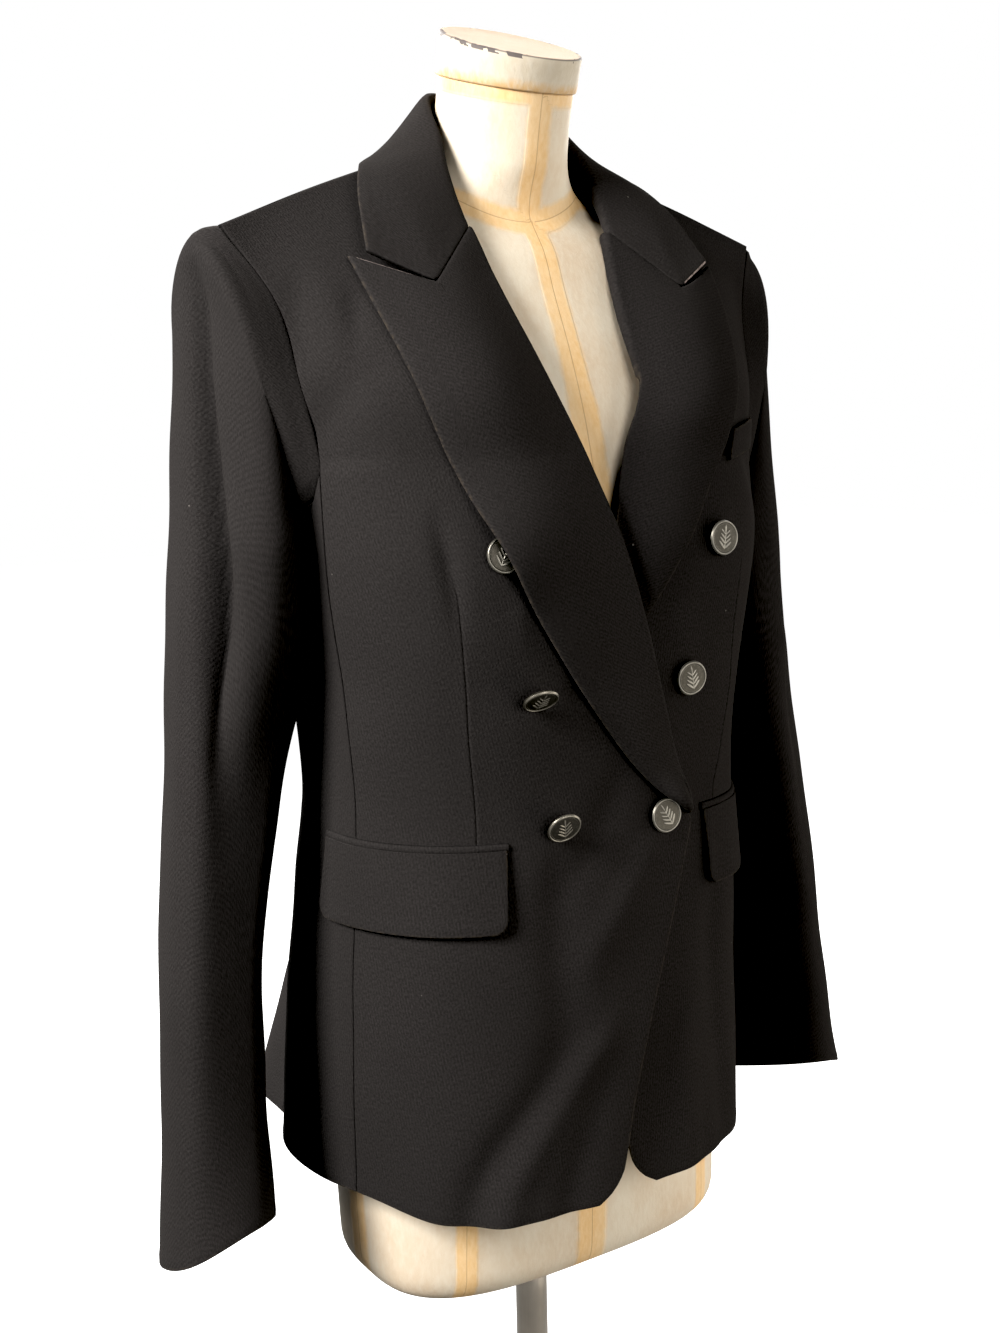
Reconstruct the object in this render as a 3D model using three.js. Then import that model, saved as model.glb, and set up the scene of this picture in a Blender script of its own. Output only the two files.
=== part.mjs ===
// A double-breasted blazer with peak lapels, standing open-necked on a limbless dress form with a capped
// neck, a pole and a round base. Millimetres, +Z up. The front of the blazer faces -Y and the wearer's
// right is at -X. The origin is the middle of the underside of the base.
import * as THREE from 'three';

// ---- driving dimensions ----
const LEVEL = 665;          // height above the floor of the level the tables count from, the form's foot
const HEM = 68;             // hem of the blazer above that level
const ARMHOLE = 545;        // height where the front and back edges of the armhole begin
const UNDERARM = 500;       // lowest point of the armhole
const CLOTH = 1.6;          // cloth of a panel with what backs it
const TURNED = 2.4;         // lapel, collar and flap, which are two cloths
const GAP = 0.3;            // gap left along a seam
const REST = 0.8;           // gap under what lies on a panel
const UNDERLAP = 6.8;       // how far the left front lies inside the right one
const BUTTON_R = 11.4;      // radius of a button
const BUTTON_T = 4.0;       // thickness of a button
const POLE_R = 11.5;        // radius of the pole
const BASE_R = 180;         // radius of the base
const FRONT_SEAM = 76;      // seam of front and side panel, degrees round from the centre front
const BACK_SEAM = 112;      // seam of side panel and back at the armhole, degrees round

// ---- section tables; heights count from LEVEL ----
// body of the blazer, level sections: half width, depth in front and behind the middle, how square each
// half is, the dip at the centre front, the groove behind the side, the flare of the back corner, how far
// the skirt is drawn in before the side seam and how far the section is moved to the wearer's left
const BODY = {
  z: [68, 110, 200, 270, 335, 400, 450, 495, 545, 600],
  side: [168, 167, 162, 156, 151, 156, 163, 168, 171, 172],
  front: [130, 127, 122, 117, 114, 119, 125, 126, 112, 96],
  back: [174, 162, 138, 118, 106, 104, 106, 108, 108, 104],
  frontPower: [2.4, 2.4, 2.4, 2.5, 2.4, 2.4, 2.4, 2.4, 2.4, 2.4],
  backPower: [2.9, 2.9, 3.0, 3.2, 3.2, 3.0, 2.8, 2.6, 2.6, 2.6],
  dip: [0, 0, 0, 0, 1, 5, 10, 14, 13, 12],
  groove: [16, 16, 16, 15, 14, 10, 6, 2, 0, 0],
  flare: [34, 30, 21, 13, 9, 5, 2, 0, 0, 0],
  tuck: [12, 10, 6, 3, 0, 0, 0, 0, 0, 0],
  sway: [-5, -4, -3, -1, 0, 0, 0, 0, 0, 0],
};

// seam of side panel and back, degrees round from the centre front
const BACK_LINE = { z: [68, 300, 390, 450, 500, 545], a: [128, 126, 122, 117, 113, BACK_SEAM] };

// the blazer above the armhole's start, three rows up to the shoulder line and neckline, by columns at
// these angles; each point is x, y, z of the wearer's left
const SHOULDER = { x: [62, 110, 158, 205], y: [8, 10, 5, -1], z: [740, 724, 707, 688] };
const FRONT_COLUMNS = [10, 35, 58, FRONT_SEAM];
const FRONT_ROWS = [
  [[34, -82, 597], [88, -96, 594], [142, -70, 596], [174, -37, 594]],
  [[52, -46, 664], [98, -49, 660], [148, -38, 654], [182, -22, 644]],
  [[62, 8, 740], [110, 10, 724], [158, 5, 707], [205, -1, 688]],
];
const BACK_COLUMNS = [180, 170, 160, 138, BACK_SEAM];
const BACK_ROWS = [
  [[0, 108, 602], [25, 110, 602], [50, 111, 600], [104, 99, 598], [162, 58, 596]],
  [[0, 98, 680], [27, 97, 679], [54, 95, 676], [108, 78, 668], [174, 39, 648]],
  [[0, 63, 752], [38, 50, 748], [62, 8, 740], [130, 8, 718], [205, -1, 688]],
];

// a sleeve, rings from its head to the cuff: the point next to the body and the outer
// point of each ring, the middle and half breadth from front to back, how far its front is turned in,
// how square it is inside the front and how much lower its back is
const SLEEVE = {
  inX: [179, 177, 174, 174, 187, 206, 211, 210, 210],
  inZ: [488, 467, 436, 398, 330, 250, 162, 105, 58],
  outX: [219, 221, 227, 239, 249, 258, 265, 270, 277],
  outZ: [677, 643, 562, 452, 338, 250, 158, 97, 46],
  midY: [17, 20, 20, 15, 12, 8, 2, -2, -5],
  halfY: [49, 54, 59, 59, 55, 52, 51, 53, 54],
  skew: [6, 10, 11, 8, 3, 1, 0, 0, 0],
  square: [0.35, 0.42, 0.38, 0.2, 0, 0, 0, 0, 0],
  drop: [0, 0, 0, 0, 0, 0, 5, 12, 20],
};

// x of the right front's roll line and front edge, and of the outer edge of its lapel; the wearer's right
// is negative, so a front reaches past the middle
const ROLL = { z: [313, 400, 497, 546, 597, 640, 684], x: [55, 28, 0, -17, -34, -46, -55] };
const EDGE = { z: [68, 74, 80, 88, 140, 204, 305], x: [-31, -21, -15, -10, 4, 25, 62] };
const LAPEL = {
  z: [318, 335, 361, 400, 430, 460, 490, 520, 555, 592, 630, 656, 668],
  right: [50, 27, 2, -28, -49, -68, -84, -98, -110, -122, -131, -136, -138],
  left: [50, 27, 9, -2, -14, -34, -55, -77, -103, -120, -131, -136, -138],
};
const NOTCH = { x: 94, z: 648 };   // where collar and lapel part
const GORGE = { x: 55, z: 684 };   // where their seam reaches the roll line

// the collar, half of it, from the middle of the back to its front end: neckline seam, fold, middle of the
// fall, outer edge
const COLLAR = [
  [[0, 64, 754], [0, 60, 786], [0, 72, 764], [0, 86, 729]],
  [[36, 52, 751], [32, 43, 782], [44, 57, 760], [56, 80, 726]],
  [[53, 30, 746], [46, 22, 770], [64, 33, 753], [86, 36, 731]],
  [[57, 7, 737], [52, 2, 750], [77, 9, 740], [105, 9, 728]],
  [[57, -16, 712], [59, -19, 721], [90, -20, 716], [120, -16, 707]],
  [[56, -32, 693], [55, -36, 689], [94, -62, 653.5], [131, -44, 672]],
];

// welt of the chest pocket, its four corners x, z on the left front
const WELT = { from: 103, slant: 7, to: 145, low: [540, 548], high: [561, 568] };
const FLAP = { from: 37.5, to: 87, low: 257, high: 308, jet: 5 };

// buttons of the right front and of the left one: x, z, how far each hangs over, degrees, its shank, and how
// far it is turned to the wearer's right, degrees
const BUTTONS = {
  right: { top: [-84, 493, 0, 0.2, 0], middle: [-63, 408, 44, 2.6, 0], bottom: [-46, 323, 32, 2.6, 0] },
  left: { top: [87, 492, 2, 2.6, 15], middle: [62, 402, 0, 2.6, 14], bottom: [35, 315, 0, 1.4, 8] },
};

// dress form, level sections: height, half width, depth in front and behind, middle, squareness, lean
const FORM = [
  [-9, 120, 62, 62, -2, 3.1, 0],
  [-7, 129, 71, 71, -2, 3.1, 0],
  [0, 137, 78, 78, -2, 3.1, 0],
  [14, 140, 81, 81, -2, 3.1, 0],
  [110, 141, 84, 86, 0, 2.8, 0],
  [220, 130, 86, 84, 0, 2.5, 0],
  [335, 114, 84, 76, 0, 2.3, 0],
  [420, 126, 92, 82, 0, 2.3, 0],
  [497, 140, 98, 88, 0, 2.3, 0],
  [560, 148, 86, 88, 0, 2.3, 0],
  [610, 152, 69, 86, 0, 2.2, 0],
  [650, 150, 52.5, 80, 1, 2.1, 0],
  [676, 132, 45.1, 70, 4, 2.0, 0],
  [692, 108, 40, 58, 10, 1.9, 0],
  [702, 87, 41, 52, 16, 1.9, 2],
  [714, 67, 43, 47, 17, 1.9, 4],
  [724, 54, 44, 45, 15, 2.0, 6],
  [738, 46.5, 45, 45, 11, 2.0, 9],
  [760, 44.5, 44.5, 44.5, 6, 2.0, 12],
  [786, 44.5, 44.5, 44.5, 0, 2.0, 17],
];
const CAP = { radius: 46.5, height: 25, lean: 17 };

// ---- small tools ----
const V = (x, y, z) => new THREE.Vector3(x, y, z);
const rad = (a) => (a * Math.PI) / 180;
const clamp = (t, a = 0, b = 1) => Math.min(b, Math.max(a, t));
const ease = (t) => clamp(t) ** 2 * (3 - 2 * clamp(t));
const mix = (a, b, t) => a + (b - a) * t;

// smooth curve through the values ys at the positions xs, in straight lines beyond its ends
function through(xs, ys) {
  const n = xs.length;
  const slope = xs.map((_, i) => {
    const a = Math.max(0, i - 1);
    const b = Math.min(n - 1, i + 1);
    return (ys[b] - ys[a]) / (xs[b] - xs[a]);
  });
  return (x) => {
    if (x <= xs[0]) return ys[0] + slope[0] * (x - xs[0]);
    if (x >= xs[n - 1]) return ys[n - 1] + slope[n - 1] * (x - xs[n - 1]);
    let i = 0;
    while (x > xs[i + 1]) i += 1;
    const h = xs[i + 1] - xs[i];
    const t = (x - xs[i]) / h;
    const a = (1 + 2 * t) * (1 - t) ** 2;
    const b = t * (1 - t) ** 2;
    const c = t * t * (3 - 2 * t);
    const d = t * t * (t - 1);
    return a * ys[i] + b * h * slope[i] + c * ys[i + 1] + d * h * slope[i + 1];
  };
}

// the same through points
function path(ts, points) {
  const f = ['x', 'y', 'z'].map((k) => through(ts, points.map((p) => p[k])));
  return (t) => V(f[0](t), f[1](t), f[2](t));
}

const backSeam = through(BACK_LINE.z, BACK_LINE.a);
const shoulderY = through(SHOULDER.x, SHOULDER.y);
const shoulderZ = through(SHOULDER.x, SHOULDER.z);
const body = {};
for (const [name, values] of Object.entries(BODY)) if (name !== 'z') body[name] = through(BODY.z, values);

// level section of the blazer's body at height z, a degrees round from the centre front
function ring(a, z) {
  const s = Math.abs(Math.sin(rad(a)));
  const c = Math.cos(rad(a));
  const turn = Math.abs(a);
  const power = mix(body.frontPower(z), body.backPower(z), ease((turn - 60) / 60));
  const depth = c > 0 ? body.front(z) : body.back(z);
  let r = ((s / body.side(z)) ** power + (Math.abs(c) / depth) ** power) ** (-1 / power);
  r -= body.dip(z) * Math.exp(-((turn / 24) ** 2));
  r -= body.groove(z) * Math.exp(-(((turn - 124) / 13) ** 2));
  r -= body.tuck(z) * Math.exp(-(((turn - 70) / 17) ** 2)) * (a > 0 ? 1.6 : 1);
  r += body.flare(z) * Math.exp(-(((turn - 149) / 12) ** 2));
  return V(r * Math.sin(rad(a)) + body.sway(z), -r * c, z);
}

function upper(columns, rows, a, h) {
  const w = (h - ARMHOLE) / (TOP - ARMHOLE);
  const points = columns.map((column, i) => {
    const low = ring(column, ARMHOLE - 55);
    const start = ring(column, ARMHOLE);
    const above = rows.map((row) => V(...row[i]));
    return path([-0.33, 0, 0.33, 0.67, 1], [low, start, ...above])(w);
  });
  const up = columns[0] < columns[1];
  const p = path(up ? columns : [...columns].reverse(), up ? points : points.reverse())(a);
  if (h < TOP - 40 || w > 1 - 1e-9) return p;
  const top = upper(columns, rows, a, TOP);
  const near = ease((h - TOP + 40) / 40) * ease((top.x - 58) / 8);
  return p.add(V(0, near * (shoulderY(top.x) - top.y), near * (shoulderZ(top.x) - top.z)));
}

// any point of the body surface: level up to the armhole, rising to the shoulder line at h = TOP
const TOP = 700;
function surface(a, h) {
  if (h <= ARMHOLE) return ring(a, h);
  const turn = Math.abs(a);
  const p = turn < 100 ? upper(FRONT_COLUMNS, FRONT_ROWS, turn, h) : upper(BACK_COLUMNS, BACK_ROWS, turn, h);
  if (a < 0) p.x = -p.x;
  return p;
}

// the outward normal of a surface given as a function of two parameters
function normal(at, u, v, du, dv, away) {
  const a = at(u + du, v).sub(at(u - du, v));
  const b = at(u, v + dv).sub(at(u, v - dv));
  const n = a.cross(b).normalize();
  return n.dot(away) < 0 ? n.negate() : n;
}

// angle and height of the front surface point whose x and z are given
function locate(x, z) {
  let a = clamp(Math.atan2(x, 115) * (180 / Math.PI), -80, 80);
  let h = Math.min(z, 690);
  for (let i = 0; i < 30; i += 1) {
    const p = surface(a, h);
    const pa = surface(a + 0.2, h).sub(p).divideScalar(0.2);
    const ph = surface(a, h + 0.2).sub(p).divideScalar(0.2);
    const det = pa.x * ph.z - pa.z * ph.x;
    const dx = x - p.x;
    const dz = z - p.z;
    a += clamp((dx * ph.z - dz * ph.x) / det, -6, 6);
    h += clamp((pa.x * dz - pa.z * dx) / det, -15, 15);
  }
  return [a, h];
}

function front(x, z) {
  const [a, h] = locate(x, z);
  return surface(a, h);
}

// ---- solids ----
const group = new THREE.Group();
group.name = 'blazer_on_dress_form';
const raised = new THREE.Group();
raised.position.z = LEVEL;
group.add(raised);

const LOOKS = {
  cloth: [0x1d1b1b, 0.82, 0],
  turned: [0x1f1d1c, 0.8, 0],
  pewter: [0x6d6a62, 0.42, 0.85],
  canvas: [0xe4d6bb, 0.9, 0],
  tape: [0xd9a765, 0.85, 0],
  steel: [0x57534f, 0.45, 0.9],
};

function add(name, look, geometry, parent = raised) {
  const [color, roughness, metalness] = LOOKS[look];
  const mesh = new THREE.Mesh(geometry, new THREE.MeshStandardMaterial({ color, roughness, metalness }));
  mesh.name = name;
  parent.add(mesh);
  return mesh;
}

function geometryOf(points, faces) {
  let volume = 0;
  for (const [i, j, k] of faces) volume += points[i].dot(points[j].clone().cross(points[k]));
  const index = faces.flatMap(([i, j, k]) => (volume < 0 ? [i, k, j] : [i, j, k]));
  const geometry = new THREE.BufferGeometry();
  geometry.setAttribute('position', new THREE.Float32BufferAttribute(points.flatMap((p) => p.toArray()), 3));
  geometry.setIndex(index);
  geometry.computeVertexNormals();
  return geometry;
}

// a cloth: the surface at(u, v), u and v from 0 to 1, moved out by `base` and then given a thickness
function shell(at, across, up, thick, base = () => 0, away = null) {
  const inner = [];
  const outer = [];
  for (let j = 0; j <= up; j += 1) {
    for (let i = 0; i <= across; i += 1) {
      const u = i / across;
      const v = j / up;
      const p = at(u, v);
      const out = away ? away(p, u, v) : V(p.x, p.y, Math.max(0, p.z - 560));
      const n = normal(at, u, v, 0.004, 0.004, out);
      const b = base(u, v);
      inner.push(p.clone().addScaledVector(n, b));
      outer.push(p.clone().addScaledVector(n, b + thick));
    }
  }
  const m = inner.length;
  const id = (i, j) => j * (across + 1) + i;
  const faces = [];
  const quad = (a, b, c, d) => faces.push([a, b, c], [a, c, d]);
  for (let j = 0; j < up; j += 1) {
    for (let i = 0; i < across; i += 1) {
      quad(m + id(i, j), m + id(i + 1, j), m + id(i + 1, j + 1), m + id(i, j + 1));
      quad(id(i, j), id(i, j + 1), id(i + 1, j + 1), id(i + 1, j));
    }
  }
  const rim = [];
  for (let i = 0; i < across; i += 1) rim.push(id(i, 0));
  for (let j = 0; j < up; j += 1) rim.push(id(across, j));
  for (let i = across; i > 0; i -= 1) rim.push(id(i, up));
  for (let j = up; j > 0; j -= 1) rim.push(id(0, j));
  rim.forEach((a, k) => {
    const b = rim[(k + 1) % rim.length];
    quad(a, b, m + b, m + a);
  });
  return geometryOf([...inner, ...outer], faces);
}

// a round or oval solid from rings of points, closed at both ends
function loft(rings) {
  const n = rings[0].length;
  const points = rings.flat();
  const faces = [];
  for (let j = 0; j + 1 < rings.length; j += 1) {
    for (let i = 0; i < n; i += 1) {
      const a = j * n + i;
      const b = j * n + ((i + 1) % n);
      faces.push([a, b, b + n], [a, b + n, a + n]);
    }
  }
  for (const [start, turn] of [[0, false], [(rings.length - 1) * n, true]]) {
    const middle = V(0, 0, 0);
    for (let i = 0; i < n; i += 1) middle.addScaledVector(points[start + i], 1 / n);
    points.push(middle);
    const c = points.length - 1;
    for (let i = 0; i < n; i += 1) {
      const a = start + i;
      const b = start + ((i + 1) % n);
      faces.push(turn ? [a, b, c] : [b, a, c]);
    }
  }
  return geometryOf(points, faces);
}

// a turned solid from radius and height pairs, moved by the matrix
function turned(profile, steps, matrix = new THREE.Matrix4()) {
  const rings = profile.map(([r, z]) => {
    const out = [];
    for (let i = 0; i < steps; i += 1) {
      const a = (i / steps) * Math.PI * 2;
      out.push(V(r * Math.cos(a), r * Math.sin(a), z).applyMatrix4(matrix));
    }
    return out;
  });
  return loft(rings);
}

// ---- blazer, body panels ----
const rollX = through(ROLL.z, ROLL.x);
const edgeX = through(EDGE.z, EDGE.x);

// how far round a front reaches at height h; positive is past the centre
function frontEdge(h) {
  if (h >= ARMHOLE) return -FRONT_COLUMNS[0];
  const x = h > 305 ? mix(edgeX(h), rollX(h), ease((h - 305) / 12)) : edgeX(h);
  let a = 0;
  for (let i = 0; i < 20; i += 1) a += (x - ring(a, h).x) / 2.1;
  return a;
}

// degrees by which the roll line of the left front swings out over the chest
const swing = (h) => 4.5 * Math.exp(-(((h - 592) / 34) ** 2));

const HEIGHTS = [HEM, 76, 90, 130, 175, 220, 262, 300, 318, 345, 380, 415, 450, 474, 495, 519, 545, 580, 612, 640, 664, 684, 699.5];
const rowAt = (heights) => {
  const f = through(heights.map((_, i) => i), heights);
  return (v) => f(v * (heights.length - 1));
};

// how far inside the right front the left one lies, a degrees from the centre towards the wearer's left
const under = (a, h) => -UNDERLAP * (1 - ease((a - 30) / 26)) * (1 - ease((h - 575) / 70));
const half = 0.16; // half a seam gap, degrees
// the hem rises a little over the sides; a degrees from the centre front
const hem = (a) => HEM + (a > 0 ? 20 : 10) * ease((Math.abs(a) - 45) / 35) * (1 - ease((Math.abs(a) - 105) / 40));
// top edge of a side panel, q from -1 to 1 across it
const underarm = (q) => UNDERARM + (ARMHOLE - UNDERARM) * (0.55 * q ** 2 + 0.45 * q ** 6);

// heights near the hem, moved up to follow it
const lift = (h, a) => h + (hem(a) - HEM) * (1 - ease((h - HEM) / 110));

for (const [side, sign] of [['right', -1], ['left', 1]]) {
  const height = rowAt(HEIGHTS);
  const start = (h) => (sign < 0 ? frontEdge(h) : -frontEdge(h) + swing(h));
  const angle = (u, v) => mix(start(height(v)), sign * (FRONT_SEAM - half), u);
  add(`front_${side}`, 'cloth', shell(
    (u, v) => surface(angle(u, v), lift(height(v), angle(u, v))),
    12, HEIGHTS.length - 1, CLOTH,
    (u, v) => (sign > 0 ? under(angle(u, v), height(v)) : 0),
  ));
  add(`side_${side}`, 'cloth', shell(
    (u, v) => {
      const h = mix(HEM, underarm(2 * u - 1), v);
      const a = mix(FRONT_SEAM + half, backSeam(h) - half, u);
      return ring(sign * a, lift(h, sign * a));
    },
    7, 12, CLOTH,
  ));
  const backHeight = rowAt([HEM, 110, 155, 200, 250, 300, 350, 400, 450, 500, 545, 590, 630, 660, 684, 699.5]);
  add(`back_${side}`, 'cloth', shell(
    (u, v) => {
      const h = backHeight(v);
      const a = mix(backSeam(Math.min(h, ARMHOLE)) + half, 180 - half, u);
      return surface(sign * a, lift(h, sign * a));
    },
    7, 15, CLOTH,
  ));
}

// ---- sleeves ----
// the armhole as a closed line from the shoulder down the front, under the arm and up the back
function armhole() {
  const line = [];
  for (let i = 0; i <= 24; i += 1) line.push(surface(FRONT_SEAM, mix(TOP, ARMHOLE, i / 24)));
  for (let i = 1; i < 24; i += 1) line.push(ring(mix(FRONT_SEAM, BACK_SEAM, i / 24), underarm(mix(-1, 1, i / 24))));
  for (let i = 24; i >= 0; i -= 1) line.push(surface(BACK_SEAM, mix(TOP, ARMHOLE, i / 24)));
  const length = [0];
  for (let i = 1; i < line.length; i += 1) length.push(length[i - 1] + line[i].distanceTo(line[i - 1]));
  const total = length[length.length - 1];
  return path(length.map((l) => l / total), line);
}
const hole = armhole();
const tube = {};
for (const [name, values] of Object.entries(SLEEVE)) tube[name] = through(values.map((_, i) => i + 2), values);

// a point of the sleeve: t from 0 to 1 round it from the top, over the front; s is the row number
function oval(t, s) {
  const a = t * Math.PI * 2;
  const power = t > 0.25 && t < 0.5 ? 1 - tube.square(s) : 1;
  const w = 0.5 + 0.5 * Math.sign(Math.cos(a)) * Math.abs(Math.cos(a)) ** power;
  const y = tube.midY(s) - tube.halfY(s) * Math.sign(Math.sin(a)) * Math.abs(Math.sin(a)) ** power;
  const x = mix(tube.inX(s), tube.outX(s), w) - tube.skew(s) * (0.5 + 0.5 * Math.sin(a)) ** 1.5;
  return V(x, y, mix(tube.inZ(s), tube.outZ(s), w) + tube.drop(s) * Math.sin(a));
}
function sleeve(t, s) {
  const w = t - Math.floor(t);
  if (s >= 2) return oval(w, s);
  const start = hole(w).add(V(3.4, 0, 0));
  const head = start.clone().lerp(oval(w, 2), 0.5).add(V(2.5, 0, 8 * Math.max(0, Math.cos(w * Math.PI * 2))));
  return path([0, 1, 2, 3], [start, head, oval(w, 2), oval(w, 3)])(s);
}
const SLEEVE_ROWS = [0.0, 0.5, 1, 1.6, 2.3, 3, 4, 5, 6, 7, 8, 9, 10];
const sleeveRow = rowAt(SLEEVE_ROWS);
for (const [side, sign] of [['right', -1], ['left', 1]]) {
  for (const [name, from, to, across] of [['top', -0.3, 0.36, 11], ['under', 0.366, 0.695, 8]]) {
    const at = (t, v) => {
      const p = sleeve(t, sleeveRow(v));
      return V(sign * p.x, p.y, p.z);
    };
    const middle = (v) => at(0, v).add(at(0.25, v)).add(at(0.5, v)).add(at(0.75, v)).multiplyScalar(0.25);
    add(`${name}_sleeve_${side}`, 'cloth', shell(
      (u, v) => at(mix(from, to, u), v), across, SLEEVE_ROWS.length - 1, CLOTH, () => 0,
      (p, u, v) => p.clone().sub(middle(v)),
    ));
  }
}

// ---- lapels and collar ----
// lift of a lapel over the button it covers
const over = (x, z, height, reach) => height * Math.exp(-((Math.hypot(x, z) / reach) ** 2));
const peak = { x: -LAPEL.right.at(-1), z: LAPEL.z.at(-1) };
const notchAt = (NOTCH.x - GORGE.x) / (peak.x - GORGE.x);
for (const [side, sign] of [['right', -1], ['left', 1]]) {
  const lapelX = through(LAPEL.z, LAPEL[side]);
  const across = through([0, 1, 2, 3, 4, 5, 6], [0, 0.1, 0.24, notchAt, 0.66, 0.84, 1]);
  const along = rowAt([
    0, 0.03, 0.09, 0.2, 0.32, 0.41, 0.46, 0.51, 0.57, 0.64, 0.7, 0.755, 0.805, 0.85, 0.895, 0.94, 0.975, 1,
  ]);
  const foot = sign < 0 ? 314 : 350;
  const place = (u, v) => {
    const s = across(u * 6);
    const t = along(v);
    const zRoll = mix(foot, GORGE.z, t);
    const zOuter = mix(foot + 4, peak.z, t);
    const z = mix(zRoll, zOuter, s);
    const dip = s < notchAt ? s / notchAt : (1 - s) / (1 - notchAt);
    const flat = mix(GORGE.z, peak.z, notchAt);
    const roll = rollX(zRoll) - (sign > 0 ? 9 * Math.exp(-(((zRoll - 592) / 34) ** 2)) : 0);
    return [mix(roll, lapelX(zOuter), s), z - dip * (flat - NOTCH.z) * t ** 9, s];
  };
  add(`lapel_${side}`, 'turned', shell(
    (u, v) => {
      const [x, z] = place(u, v);
      return front(-sign * x, z);
    },
    6, 17, TURNED,
    (u, v) => {
      const [x, z, s] = place(u, v);
      const roll = CLOTH + REST + 4.5 * Math.sin(Math.PI * (s * 0.82 + 0.08));
      if (sign < 0) return roll + over(x + 84, z - 493, 8, 30) + over(x - 44, z - 325, 5.2, 16);
      const free = z > 545 ? 1 : ease((-x - rollX(z) - 4) / 26);
      return CLOTH + REST + (roll - CLOTH - REST) * free + under(...locate(-x, z));
    },
  ));
}
const collarAt = (() => {
  const rows = [];
  for (let k = COLLAR.length - 1; k > 0; k -= 1) rows.push(COLLAR[k].map(([x, y, z]) => V(-x, y, z)));
  for (const row of COLLAR) rows.push(row.map(([x, y, z]) => V(x, y, z)));
  const ts = rows.map((_, i) => i / (rows.length - 1));
  const lines = [0, 1, 2, 3].map((k) => path(ts, rows.map((row) => row[k])));
  const stops = [0, 0.3, 0.62, 1];
  return (u, v) => {
    const row = lines.map((line) => line(u));
    const k = v < stops[1] ? 0 : v < stops[2] ? 1 : 2;
    const straight = row[k].clone().lerp(row[k + 1], (v - stops[k]) / (stops[k + 1] - stops[k]));
    return path(stops, row)(v).lerp(straight, ease((Math.abs(2 * u - 1) - 0.78) / 0.2));
  };
})();
add('collar', 'turned', shell(collarAt, 26, 8, TURNED, () => 0, (p, u, v) => {
  const a = collarAt(u, 0).add(collarAt(u, 1)).multiplyScalar(0.5);
  return V(p.x - a.x, p.y - a.y, p.z - a.z + 30 * (v > 0.2 ? 1 : 0.4));
}));

// ---- pockets ----
for (const [side, sign] of [['right', -1], ['left', 1]]) {
  const inside = (a) => (sign > 0 ? under(a, FLAP.high) : 0);
  const corner = (u) => {
    const q = clamp((Math.abs(u * 2 - 1) - 0.84) / 0.16);
    return 13 * (1 - Math.sqrt(1 - 0.98 * q * q));
  };
  const angle = (u) => mix(FLAP.from, FLAP.to, u);
  add(`flap_${side}`, 'turned', shell(
    (u, v) => ring(sign * angle(u), mix(FLAP.low + corner(u), FLAP.high, v)),
    14, 3, TURNED, (u, v) => CLOTH + REST + 2.6 * (1 - v) + inside(angle(u)),
  ));
  add(`jet_${side}`, 'turned', shell(
    (u, v) => ring(sign * angle(u), mix(FLAP.high + GAP, FLAP.high + GAP + FLAP.jet, v)),
    10, 1, CLOTH, (u) => CLOTH + REST + inside(angle(u)),
  ));
}
add('chest_welt', 'turned', shell(
  (u, v) => front(mix(WELT.from + WELT.slant * v, WELT.to, u), mix(mix(...WELT.low, u), mix(...WELT.high, u), v)),
  9, 2, TURNED, () => CLOTH + 2.1 * REST,
));

// ---- buttons ----
// height and radius of the turned outline above the shank
const BUTTON = [
  [0, BUTTON_R * 0.9], [BUTTON_T * 0.45, BUTTON_R], [BUTTON_T * 0.85, BUTTON_R * 0.97],
  [BUTTON_T, BUTTON_R * 0.88], [BUTTON_T * 0.8, BUTTON_R * 0.8], [BUTTON_T, BUTTON_R * 0.3],
];
for (const [side, rows] of Object.entries(BUTTONS)) {
  for (const [name, [x, z, hang, shank, aside]] of Object.entries(rows)) {
    const [a, h] = locate(x, z);
    const p = surface(a, h);
    const n = normal(surface, a, h, 0.5, 0.5, V(p.x, p.y, 0));
    const below = side === 'left' && name !== 'bottom' ? under(a, h) : 0;
    const tip = n.clone().applyAxisAngle(V(0, 0, 1).cross(n).normalize(), rad(hang))
      .applyAxisAngle(V(0, 0, 1), -rad(aside));
    const turn = new THREE.Quaternion().setFromUnitVectors(V(0, 0, 1), tip);
    const tilt = n.angleTo(tip);
    const clear = Math.max(2.6 * Math.sin(tilt), BUTTON_R * 0.94 * Math.sin(tilt) - shank * Math.cos(tilt)) + GAP;
    const at = p.clone().addScaledVector(n, below + CLOTH + clear);
    const outline = [[2.6, 0], [2.6, shank], ...BUTTON.map(([q, r]) => [r, q + shank])];
    add(`button_${side}_${name}`, 'pewter', turned(outline, 16, new THREE.Matrix4().compose(at, turn, V(1, 1, 1))));
  }
}

// ---- dress form and stand ----
function formRing([z, side, frontDepth, backDepth, mid, power, lean], steps, grow = 0) {
  const out = [];
  for (let i = 0; i < steps; i += 1) {
    const a = (i / steps) * Math.PI * 2;
    const s = Math.sin(a);
    const c = Math.cos(a);
    const depth = c > 0 ? frontDepth : backDepth;
    const r = ((Math.abs(s) / side) ** power + (Math.abs(c) / depth) ** power) ** (-1 / power) + grow;
    out.push(V(r * s, mid - r * c * Math.cos(rad(lean)), z - r * c * Math.sin(rad(lean))));
  }
  return out;
}
add('dress_form', 'canvas', loft(FORM.map((row) => formRing(row, 32))));
const capAt = (z, radius) => {
  const up = z + 0.05;
  const ring0 = formRing([786, radius, radius, radius, 0, 2, CAP.lean], 32);
  return ring0.map((p) => p.add(V(0, -up * Math.sin(rad(CAP.lean)), up * Math.cos(rad(CAP.lean)))));
};
add('neck_cap', 'canvas', loft([
  capAt(0, CAP.radius - 1), capAt(1.5, CAP.radius), capAt(CAP.height - 1.5, CAP.radius),
  capAt(CAP.height, CAP.radius - 1.2), capAt(CAP.height - 0.6, CAP.radius - 6),
]));
const HUB = 34;
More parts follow.
